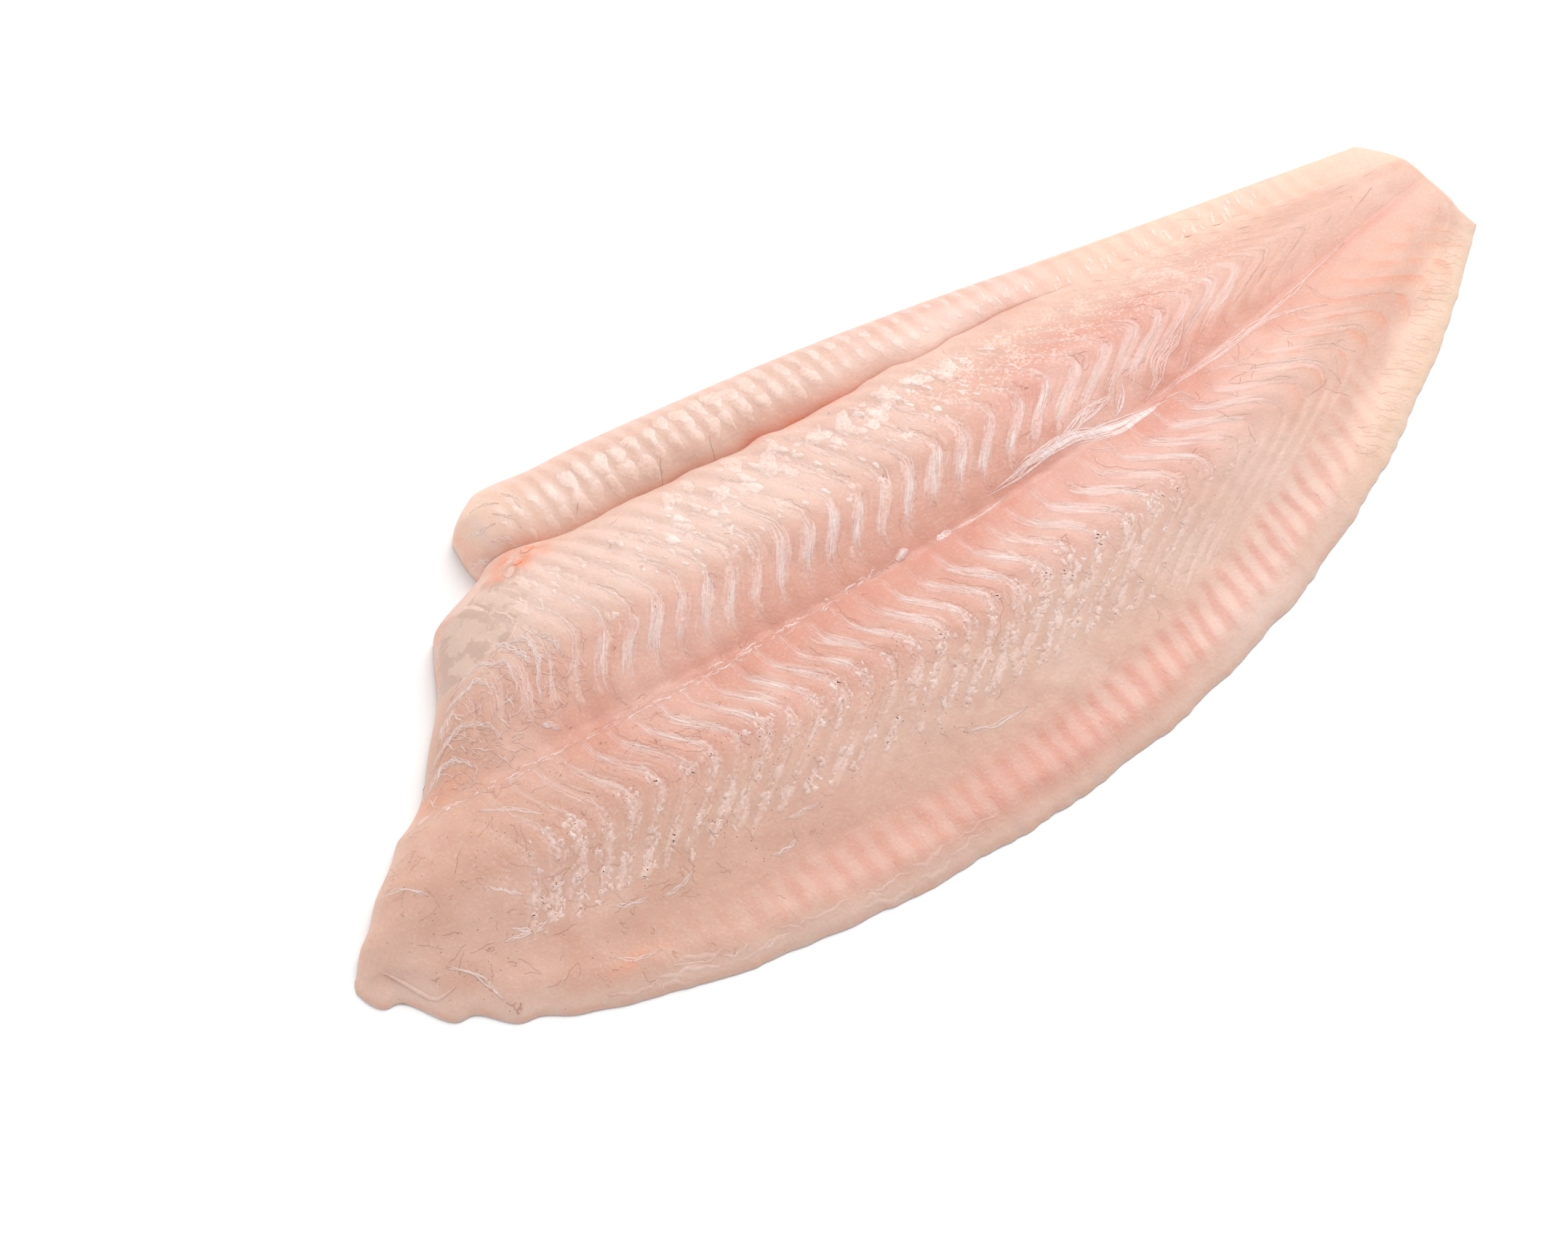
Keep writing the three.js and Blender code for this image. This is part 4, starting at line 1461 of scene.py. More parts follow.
@dataclass
class PaintedSheenPatches:
    """Painted highlights: shiny cream patches between the seams by the groove, and wedge-shaped ones along
    the roll.
    """

    seams: FlakeSeams = FlakeSeams()
    seed: int = 71
    rise: float = 0.05
    smallest: float = 0.3
    roll_start: float = 60.0
    wedges: int = 32
    crisp: Pairs = (
        (84.5, 17), (89, 18), (92, 13), (97, 17), (101, 13), (110.5, 12.5), (115.5, 12.5), (124, 12),
        (131, 12), (136, 11.5), (104, 15.5), (120, 10),
    )
    crisp_group: int = 4
    dash_pitch: float = 1.45

    def by_groove(self, rng: Chance, per_flake: int, t: Span, size: Span) -> Blisters:
        """Painted highlight patches in the middle of each flake, turned along its seams.

        Args:
            rng: where the random amounts come from.
            per_flake: how many patches a flake has.
            t: how far above the midline they lie, from and to, in mm.
            size: the least and greatest long radius, in mm.

        Returns:
            The patches.
        """
        seam = np.repeat(np.arange(4, 24) + 0.5, per_flake)
        n = len(seam)
        at = rng.uniform(*t, n)
        places = self.seams.trace(seam + rng.normal(0, 0.14, n), at)
        turn = self.seams.heading(seam, at)
        length = rng.uniform(*size, n) * window(places[:, 0], 72, 146, 20)
        return Blisters(places, length, length * rng.uniform(0.35, 0.7, n), turn, rng.uniform(0.6, 1.1, n))

    def crisp_ones(self, rng: Chance) -> Blisters:
        """The largest patches, each at its own place, with smaller scraps about them."""
        places = np.repeat(np.array(self.crisp, float), self.crisp_group, axis=0)
        n = len(places)
        first = np.arange(n) % self.crisp_group == 0
        places = places + np.where(first, 0, 1)[:, None] * rng.normal(0, 1.5, (n, 2))
        size = np.where(first, rng.uniform(1.7, 2.5, n), rng.uniform(0.35, 0.9, n))
        turn = rng.normal(1.0, 0.6, n)
        return Blisters(places, size, size * rng.uniform(0.45, 0.8, n), turn, np.where(first, 0.85, 0.7))

    def on_roll(self, rng: Chance, below: float, strength: float) -> Blisters:
        """A row of wedges `below` mm from the roll's crest, smaller and lower towards the tail."""
        n = self.wedges
        x = self.roll_start + RIB_PITCH * np.arange(n)
        y = 31.5 - below - 6.0 * ease((x - 92) / 60) + rng.normal(0, 0.5, n)
        size = mix(2.0, 1.0, ease((x - 100) / 50)) * rng.uniform(0.7, 1.2, n) * window(x, 66, 162, 22)
        turn = np.full(n, np.pi / 2) + rng.normal(0.12, 0.12, n)
        places = np.stack([x + rng.normal(0, 0.2, n), y], 1)
        shown = strength * rng.uniform(0.45, 0.85, n)
        return Blisters(places, size, 0.6 * size, turn, shown, flare=0.4, ragged=0.13)

    def tail_dashes(self, rng: Chance) -> Blisters:
        """A row of short yellowish dashes inside the upper rim, from the roll's end to the tail."""
        x = np.arange(150, 208, self.dash_pitch)
        n = len(x)
        y = 21.5 - 0.157 * (x - 160) + rng.normal(0, 1.1, n) - 0.6
        size = rng.uniform(0.6, 1.5, n) * window(x, 150, 210, 16)
        turn = rng.normal(1.25, 0.14, n)
        narrow = size * rng.uniform(0.18, 0.3, n)
        return Blisters(np.stack([x, y], 1), size, narrow, turn, rng.uniform(0.6, 1, n))

    def build(self, skin: SoleFillet) -> Piece:
        """Lays the patches on the flesh."""
        rng = np.random.default_rng(self.seed)
        groups = [
            self.by_groove(rng, 2, (20.5, 26.5), (0.9, 1.7)),
            self.by_groove(rng, 3, (15, 27), (0.35, 0.9)),
            self.crisp_ones(rng),
            self.on_roll(rng, 0.0, 1.0),
            self.on_roll(rng, 4.4, 0.6),
            self.tail_dashes(rng),
        ]
        meshes = [group.sized(self.smallest).mesh(skin, self.rise, rng) for group in groups]
        return join_laid("painted_sheen_patches", skin, Tissue.FLAKE, meshes)


@dataclass
class SkinVeil:
    """The scrap of thin grey skin left on the upper lobe at the head, ragged on its tail side."""

    places: Pairs = ((46.0, 16.5), (54.5, 19.0), (49.0, 13.5))
    long_radii: tuple[float, ...] = (9.5, 6.0, 4.5)
    short_radii: tuple[float, ...] = (5.6, 4.4, 2.2)
    turns: tuple[float, ...] = (0.45, 0.8, 0.1)
    seed: int = 83
    rise: float = 0.05
    fading: float = 0.2

    def build(self, skin: SoleFillet) -> Piece:
        """Lays the scraps as many-cornered discs whose veil fades over their outer rings."""
        rng = np.random.default_rng(self.seed)
        rings = np.linspace(1, 0.06, 16)
        sizes = (np.array(part) for part in (self.places, self.long_radii, self.short_radii, self.turns))
        n = len(self.places)
        scrap = Blisters(*sizes, np.zeros(n), ragged=0.09, corners=160, rings=tuple(rings))
        mesh = scrap.mesh(skin, self.rise, rng)
        shown = np.append(np.repeat(ease((1 - rings) / self.fading), scrap.corners), (1.0, 1.0))
        return join_laid("skin_veil", skin, Tissue.SHEATH, [mesh], veil=np.tile(shown, n))


@dataclass
class TornFlesh:
    """Lumps of orange flesh where the roll was pulled off the lobe at its head end."""

    places: Pairs = ((57.4, 21.4), (59.6, 22.6), (62.4, 24.0))
    radii: tuple[float, ...] = (1.2, 1.0, 1.3)
    rings: tuple[float, ...] = (1.0, 0.94, 0.84, 0.7, 0.52, 0.3, 0.12)
    seed: int = 91
    rise: float = 0.3

    def build(self, skin: SoleFillet) -> Piece:
        """Lays ragged low lumps along the tear, the reddest one first."""
        rng = np.random.default_rng(self.seed)
        places, size, n = np.array(self.places), np.array(self.radii), len(self.places)
        lumps = Blisters(
            places, size, size * 0.7, rng.normal(0.5, 0.3, n), np.zeros(n), levelled=0.3, ragged=0.08,
            corners=36, rings=self.rings,
        )
        mesh = lumps.mesh(skin, self.rise, rng)
        redness = np.where(np.arange(n) == 0, 1.0, rng.uniform(0.1, 0.3, n))
        torn = np.repeat(redness, len(mesh[0]) // n)
        return join_laid("torn_flesh", skin, Tissue.SHEATH, [mesh], torn=torn)


@dataclass
class SheathFibres:
    """The white sheaths between flakes, drawn as brushes of fibres on both flanks of the midline."""

    seams: FlakeSeams = FlakeSeams()
    first: int = -5
    last: int = 42
    seed: int = 21
    rise: float = 0.06
    brush_stations: int = 9
    thread_stations: int = 15
    thread_strength: float = 0.24

    def brush(
        self, rng: Chance, side: int, centre: float, count: int, width: Span, strength: float
    ) -> Strokes:
        """A brush on each seam: fibres of random length, width and shift about its bright part.

        Args:
            rng: where the random amounts come from.
            side: 1 above the midline, -1 below it.
            centre: how far from the midline the brushes' middles are, in mm.
            count: fibres to a brush.
            width: the least and the greatest width of a fibre, in mm.
            strength: how white the whitest fibre is.

        Returns:
            The fibres.
        """
        each, stations = np.arange(self.first, self.last), self.brush_stations
        drift, shorter = rng.normal(0, 1.0, len(each)), rng.uniform(0.6, 1.1, len(each))
        seam, drift, shorter = (np.repeat(part, count).astype(float) for part in (each, drift, shorter))
        n = len(seam)
        middle = centre + drift + rng.normal(0, 0.9, n)
        half = shorter * rng.uniform(1.5, 4.0 + 0.3 * side, n)
        shift = rng.normal(0, 0.13, n)
        fan = rng.normal(0, 0.06, n)
        u = np.linspace(-1, 1, stations)
        t = side * (middle[:, None] + half[:, None] * u)
        lines = self.seams.trace((seam + shift)[:, None] + fan[:, None] * u, t)
        lines[..., 0] += wander(rng, n, stations, 0.16, 1.0)
        x = lines[:, stations // 2, 0]
        fading = 1 - 0.35 * ease((x - 130) / 30) - 0.15 * ease((x - 165) / 20)
        shown = window(x, 42, 200, 24) * rng.uniform(0.35, 1, n) * shorter * fading
        shown = shown * (1 if side > 0 else mix(0.72, 1, ease((x - 80) / 40)))
        wide = mix(0.5, 1.1, ease((x - 62) / 60))
        return Strokes.along(lines, wide * rng.uniform(*width, n), strength * shown)

    def threads(self, rng: Chance, side: int, reach: float) -> Strokes:
        """The rest of each seam: two thin faint threads from near the midline outwards."""
        seam, stations = np.repeat(np.arange(self.first, self.last), 2).astype(float), self.thread_stations
        n = len(seam)
        start, end = rng.uniform(0.5, 5, n), reach * rng.uniform(0.6, 1.0, n)
        t = side * (start[:, None] + (end - start)[:, None] * np.linspace(0, 1, stations))
        lines = self.seams.trace((seam + rng.normal(0, 0.05, n))[:, None] + 0.0 * t, t)
        lines[..., 0] += wander(rng, n, stations, 0.3, 1.6)
        shown = window(lines[:, stations // 2, 0], 36, 205, 24) * rng.uniform(0.3, 1, n)
        return Strokes.along(lines, rng.uniform(0.25, 0.5, n), self.thread_strength * shown)

    def build(self, skin: SoleFillet) -> Piece:
        """Lays the brushes and threads on the flesh."""
        rng = np.random.default_rng(self.seed)
        groups = [
            self.brush(rng, 1, 8.8, 5, (0.7, 1.4), 0.6),
            self.brush(rng, 1, 8.8, 5, (0.2, 0.4), 0.75),
            self.brush(rng, -1, 9.6, 5, (0.5, 1.2), 0.56),
            self.brush(rng, -1, 9.8, 5, (0.2, 0.4), 0.75),
            self.threads(rng, 1, 26),
            self.threads(rng, -1, 18),
        ]
        return lay("sheath_fibres", skin, Tissue.SHEATH, groups, self.rise)


@dataclass
class CrumblyTissue:
    """Broken scraps and dashes of pale tissue, in clumps over the outer half of both lobes."""

    seams: FlakeSeams = FlakeSeams()
    seed: int = 33
    dash_rise: float = 0.07
    scrap_rise: float = 0.06
    dash_stations: int = 6

    def scattered(self, rng: Chance, n: int, counts: Span, span: Span) -> tuple[Array, Array]:
        """Seam counts and distances from the midline, kept where smooth noise says a clump is."""
        seam, t = rng.uniform(*counts, n), rng.uniform(*span, n)
        seam = mix(seam, np.round(seam), rng.uniform(0.0, 0.95, n))
        x, y = self.seams.trace(seam, t).T
        clumped = value_noise(x / 5.5, y / 4.5, self.seed) > rng.uniform(0.1, 0.75, n)
        return seam[clumped], t[clumped]

    def dashes(self, rng: Chance, n: int, counts: Span, span: Span, size: Span, strength: float) -> Strokes:
        """Dashes that run along the seams through scattered places.

        Args:
            rng: where the random amounts come from.
            n: how many are tried.
            counts: the first and last seam.
            span: the nearest and farthest distance from the midline, in mm.
            size: the least and greatest half length, in mm.
            strength: how pale the palest is.

        Returns:
            The dashes.
        """
        seam, middle = self.scattered(rng, n, counts, span)
        n, stations = len(seam), self.dash_stations
        half = rng.uniform(*size, n)
        u = np.linspace(-1, 1, stations)
        lines = self.seams.trace(seam[:, None] + 0 * u, middle[:, None] + half[:, None] * u)
        lines[..., 0] += wander(rng, n, stations, 0.25, 1.2)
        shown = window(lines[:, stations // 2, 0], 22, 152, 20) * rng.uniform(0.35, 1, n)
        return Strokes.along(lines, rng.uniform(0.4, 1.5, n), strength * shown, 0.4)

    def scraps(self, rng: Chance, n: int, counts: Span, span: Span, reach: Span) -> Blisters:
        """Small ragged flakes through scattered places, longer along the seams.

        Args:
            rng: where the random amounts come from.
            n: how many are tried.
            counts: the first and last seam.
            span: the nearest and farthest distance from the midline, in mm.
            reach: the least and greatest long radius, in mm.

        Returns:
            The flakes.
        """
        seam, t = self.scattered(rng, n, counts, span)
        n, places = len(t), self.seams.trace(seam, t)
        turn = self.seams.heading(seam, t) + rng.normal(0, 0.5, n)
        size = rng.uniform(*reach, n)
        shown = window(places[:, 0], 26, 150, 20) * rng.uniform(0.3, 0.9, n)
        narrow = size * rng.uniform(0.35, 0.75, n)
        return Blisters(places, size, narrow, turn, shown, ragged=0.22, corners=14, rings=(1.0, 0.7))

    def build(self, skin: SoleFillet) -> Piece:
        """Lays the dashes and scraps on both lobes."""
        rng = np.random.default_rng(self.seed)
        groups = [
            self.dashes(rng, 760, (-5, 21), (-26, -14), (0.2, 0.8), 0.95),
            self.dashes(rng, 110, (-2, 28), (-27, -13), (1.0, 2.6), 0.55),
            self.dashes(rng, 420, (0, 29), (4, 27), (0.5, 2.2), 0.45),
        ]
        meshes = [group.mesh(skin, self.dash_rise) for group in groups]
        for n, counts, span, reach in (
            (1100, (-5, 23), (-27, -13), (0.25, 0.7)),
            (260, (1, 26), (10, 27), (0.3, 0.9)),
        ):
            meshes.append(self.scraps(rng, n, counts, span, reach).mesh(skin, self.scrap_rise, rng))
        return join_laid("crumbly_tissue", skin, Tissue.FLAKE, meshes)


@dataclass
class HeadFolds:
    """Crumpled film on the upper lobe at the head, and the finer creases of the roll's end."""

    seed: int = 97
    rise: float = 0.22
    folds: tuple[Pairs, ...] = (
        ((36, 8.5), (38.5, 9), (42, 9), (43.5, 7), (43.5, 5)),
        ((38, 10), (41.5, 11), (44.5, 10.5), (46.5, 9.5), (47.5, 8), (47, 5), (45, 3)),
        ((46.5, 11), (48.5, 11.5), (50, 9.5), (50.5, 7.5), (50.5, 6)),
        ((49, 11), (51.5, 10.5), (52.5, 9), (52, 6.5), (50, 3.5), (48, 0)),
        ((33, 5.5), (35, 7), (38, 8)),
        ((46, -2.5), (47, -3.5), (48, -5)),
        ((29, 2.5), (33, 4), (37, 4), (39.5, 2), (40, -1)),
        ((26, -0.5), (30, 1), (33, 0), (34, -2.5)),
        ((53.5, 10), (55.5, 7.5), (55, 4)),
    )
    fine: tuple[Pairs, ...] = (
        ((60.5, 37), (62, 36.5), (64.5, 34.5)), ((56.5, 32.5), (57.5, 29.5), (60, 28)),
        ((58, 34.5), (59.5, 33), (62, 32)), ((62.5, 33.5), (64.5, 31.5), (65, 29)),
        ((60, 30.5), (62, 29), (63, 27.5)), ((66, 36), (67, 33.5), (66.5, 31)),
    )
    crinkle_tries: int = 260
    crinkle_stations: int = 9

    def crinkles(self, rng: Chance) -> Strokes:
        """Short fine folds between the long ones, in two directions in turn."""
        x, y = rng.uniform(24, 56, self.crinkle_tries), rng.uniform(-4, 12, self.crinkle_tries)
        kept = (y < 1 + 0.4 * (x - 22)) & (value_noise(x / 4, y / 4, 8) > 0.35)
        x, y = x[kept], y[kept]
        n, stations = len(x), self.crinkle_stations
        heading = np.where(np.arange(n) % 2, -1.2, 0.25) + rng.normal(0, 0.4, n)
        along = rng.uniform(0.5, 2.2, n)[:, None] * np.linspace(-1, 1, stations)
        lines = set_out(x, y, heading, along, wander(rng, n, stations, 0.3, 0.7))
        return Strokes.along(lines, rng.uniform(0.15, 0.4, n), rng.uniform(0.25, 0.7, n))

    def build(self, skin: SoleFillet) -> Piece:
        """Lays the long folds and fine creases as braids of ridges, then the short folds."""
        rng = np.random.default_rng(self.seed)
        groups = [braid(rng, corners, 6, 0.55, 0.32, 0.85, 0.45) for corners in self.folds]
        groups += [braid(rng, corners, 3, 0.4, 0.22, 0.45, 0.5) for corners in self.fine]
        groups.append(self.crinkles(rng))
        return lay("head_folds", skin, Tissue.SHEATH, groups, self.rise)


@dataclass
class VesselsAndCreaseShade:
    """Fine brown vessels beside the seams, with a few that stray between them and fork, and painted crease
    shade.

    A box of strays is how many vessels, where from and to in x and in y, and their sizes in mm.
    """

    seams: FlakeSeams = FlakeSeams()
    seed: int = 45
    rise: float = 0.05
    creases: tuple[Pairs, ...] = (
        ((41.5, 9.5), (42.5, 8.5), (43.5, 7), (43.3, 5.5)),
        ((46.3, 9), (46, 7), (46.5, 5), (47, 2.5)),
        ((48, 10.5), (49.5, 9), (49.7, 6.5), (50.8, 5.3)),
        ((47.8, 5), (47.5, 2.5), (47.5, 0), (47.5, -2)),
        ((38, 9.6), (40.5, 11), (43, 12.4), (45, 12.2), (47.5, 11.7)),
        ((54, 8.3), (53.8, 6.7), (53.5, 5.5)),
        ((30, 2), (33, 3.4), (36.5, 3.5), (38.8, 1.6)),
        ((90.4, 27), (89.2, 25.4), (87.8, 23)),
        ((99, 25.6), (98.1, 23.8), (97.3, 21.5)),
        ((76.2, 28.4), (74.8, 27.6), (73.6, 26.4)),
    )
    strays: tuple[tuple[int, Span, Span, Span], ...] = (
        (80, (10, 66), (-38, -6), (0.6, 2.4)), (60, (8, 60), (-50, -4), (0.3, 0.8)),
        (36, (66, 150), (-42, -22), (0.5, 1.6)), (40, (60, 150), (-20, 20), (0.4, 1.6)),
        (16, (138, 192), (-26, -13), (0.8, 3.0)), (9, (140, 172), (-7, 6), (0.8, 2.6)),
    )
    beside_stations: int = 15
    stray_stations: int = 9

    def beside(self, rng: Chance, n: int, counts: Span, span: Span) -> Strokes:
        """Vessels that follow the tailward side of a seam, wavering a little."""
        stations = self.beside_stations
        seam = np.round(rng.uniform(*counts, n)) + rng.normal(0.2, 0.06, n)
        middle, half = rng.uniform(*span, n), rng.uniform(1.0, 4.0, n)
        u = np.linspace(-1, 1, stations)
        lines = self.seams.trace(seam[:, None] + 0 * u, middle[:, None] + half[:, None] * u)
        waver = [wander(rng, n, stations, 0.4, 1.3), wander(rng, n, stations, 0.25, 2.4)]
        lines = lines + np.stack(waver, -1)
        return Strokes.along(lines, rng.uniform(0.10, 0.19, n), rng.uniform(0.25, 0.7, n))

    def stray(self, rng: Chance, n: int, across: Span, up: Span, size: Span) -> Strokes:
        """Short vessels in a box, each setting out in a random direction, one in three with a fork.

        Args:
            rng: where the random amounts come from.
            n: how many set out.
            across: the box's first and last x, in mm.
            up: its first and last y, in mm.
            size: half the least and greatest length, in mm.

        Returns:
            The vessels and forks.
        """
        x, y = rng.uniform(*across, n), rng.uniform(*up, n)
        heading, reach = rng.uniform(0, 2 * np.pi, n), rng.uniform(*size, n)
        forks = np.arange(n) % 3 == 0
        x, y = np.append(x, x[forks]), np.append(y, y[forks])
        heading = np.append(heading, heading[forks] + 0.6)
        reach = np.append(reach, 0.6 * reach[forks])
        n, stations = len(x), self.stray_stations
        bend = wander(rng, n, stations, 0.2, 1.1)
        along = reach[:, None] * np.linspace(0, 2, stations)
        lines = set_out(x, y, heading, along, bend - bend[:, :1])
        return Strokes.along(lines, rng.uniform(0.09, 0.14, n), rng.uniform(0.3, 0.85, n), 0.4)

    def build(self, skin: SoleFillet) -> Piece:
        """Lays the vessels and the painted crease shade on the flesh."""
        rng = np.random.default_rng(self.seed)
        groups = [self.beside(rng, 36, (0, 28), (3, 18)), self.beside(rng, 46, (-2, 28), (-20, -4))]
        groups += [self.stray(rng, *box) for box in self.strays]
        # Brown lines in the creases: painted crease shadows in the head's folds, and dark hairlines on the
        # roll.
        groups += [braid(rng, corners, 2, 0.12, 0.2, 0.75, 0.4) for corners in self.creases]
        # Painted shade in the midline's crease: a wide faint brown braid along it.
        groups.append(braid(rng, ConnectiveStrands.midline, 4, 0.7, 0.8, 0.24, 0.7))
        return lay("vessels_and_crease_shade", skin, Tissue.VESSEL, groups, self.rise)


@dataclass
class FrillRays:
    """Thin brown lines left by the fin rays, slanting over the frill: most plainly near the tail.

    A row of rays is where it starts and ends and how far apart they are, in mm.
    """

    seed: int = 67
    rise: float = 0.04
    tail: Triple = (186, 229, 1.7)
    belly: Triple = (30, 186, 3.2)
    ray_stations: int = 9

    def rays(
        self, rng: Chance, skin: SoleFillet, x: Array, depth: Span, lean: float, strength: float
    ) -> Strokes:
        """Lines that cross the frill from near the rim inwards, leaning tailward.

        Args:
            rng: where the random amounts come from.
            skin: the fillet.
            x: where each line starts along the fish, in mm.
            depth: from how far to how far inside the lower rim, in mm.
            lean: how far headward the inner end lies for each mm inwards.
            strength: how brown the brownest is.

        Returns:
            The lines.
        """
        n, stations = len(x), self.ray_stations
        start = depth[0] + rng.uniform(0, 1, n)[:, None]
        length = (depth[1] - depth[0]) * rng.uniform(0.5, 1, n)[:, None]
        inward = start + length * np.linspace(0, 1, stations)
        px = x[:, None] - lean * inward + wander(rng, n, stations, 0.25, 1.2)
        lines = np.stack([px, skin.plan.lower_rim(px) + inward], -1)
        return Strokes.along(lines, rng.uniform(0.14, 0.3, n), strength * rng.uniform(0.25, 1, n))

    def build(self, skin: SoleFillet) -> Piece:
        """Lays the rays of the tail, and fainter ones along the whole frill."""
        rng = np.random.default_rng(self.seed)
        groups = []
        for row, uneven, depth, lean, strength in (
            (self.tail, 0.35, (0.8, 7.5), 0.75, 0.42),
            (self.tail, 0.5, (1.5, 6.0), 0.6, 0.28),
            (self.belly, 0.6, (2.0, 7.0), 0.08, 0.12),
        ):
            x = np.arange(*row)
            x = x + rng.normal(0, uneven, len(x))
            groups.append(self.rays(rng, skin, x, depth, lean, strength))
        return lay("frill_rays", skin, Tissue.VESSEL, groups, self.rise)


@dataclass
class FilmScraps:
    """Thin white film: scratches on the lower lobe, ragged film on its frill and along its torn rim."""

    seed: int = 39
    rise: float = 0.07
    scratches: tuple[Pairs, ...] = (
        ((24, -20), (25.5, -22.2), (27.5, -24)), ((21, -28), (25, -29), (29, -29)),
        ((23, -27), (25, -28.6), (27, -30)), ((37, -33), (39.5, -34.2), (42, -35)),
        ((44, -36), (47, -36.2), (50, -35.6)), ((61, -40), (63.5, -40.6), (66, -40)),
        ((66, -37), (69, -37.6), (72, -38)), ((97, -41), (102, -42.6), (108, -43)),
        ((10, -11), (14, -13), (16, -16)), ((30, -9), (34, -12), (37, -16)),
        ((12, -26), (15, -30), (16, -35)), ((32, -39), (35, -41.5), (39, -42.5)),
    )
    wisps: int = 26
    wisp_stations: int = 11

    def along_rim(self, rng: Chance, skin: SoleFillet) -> Strokes:
        """Wisps that follow the lower rim, 0.4 to 4.2 mm inside it."""
        n, stations = self.wisps, self.wisp_stations
        x, inside = rng.uniform(4, 120, n), rng.uniform(0.4, 4.2, n)
        px = x[:, None] + rng.uniform(1.0, 4.5, n)[:, None] * np.linspace(-1, 1, stations)
        away = inside[:, None] + wander(rng, n, stations, 0.5, 1.0)
        py = skin.plan.lower_rim(px) + skin.plan.tear(px) + away
        shown = rng.uniform(0.08, 0.25, n) * window(x, 0, 90, 40)
        return Strokes.along(np.stack([px, py], -1), rng.uniform(0.3, 1.0, n), shown)

    def build(self, skin: SoleFillet) -> Piece:
        """Lays each scratch as four fibres, and the wisps along the rim."""
        rng = np.random.default_rng(self.seed)
        groups = [braid(rng, corners, 4, 0.4, 0.24, 0.75) for corners in self.scratches]
        groups.append(self.along_rim(rng, skin))
        return lay("film_scraps", skin, Tissue.SHEATH, groups, self.rise)


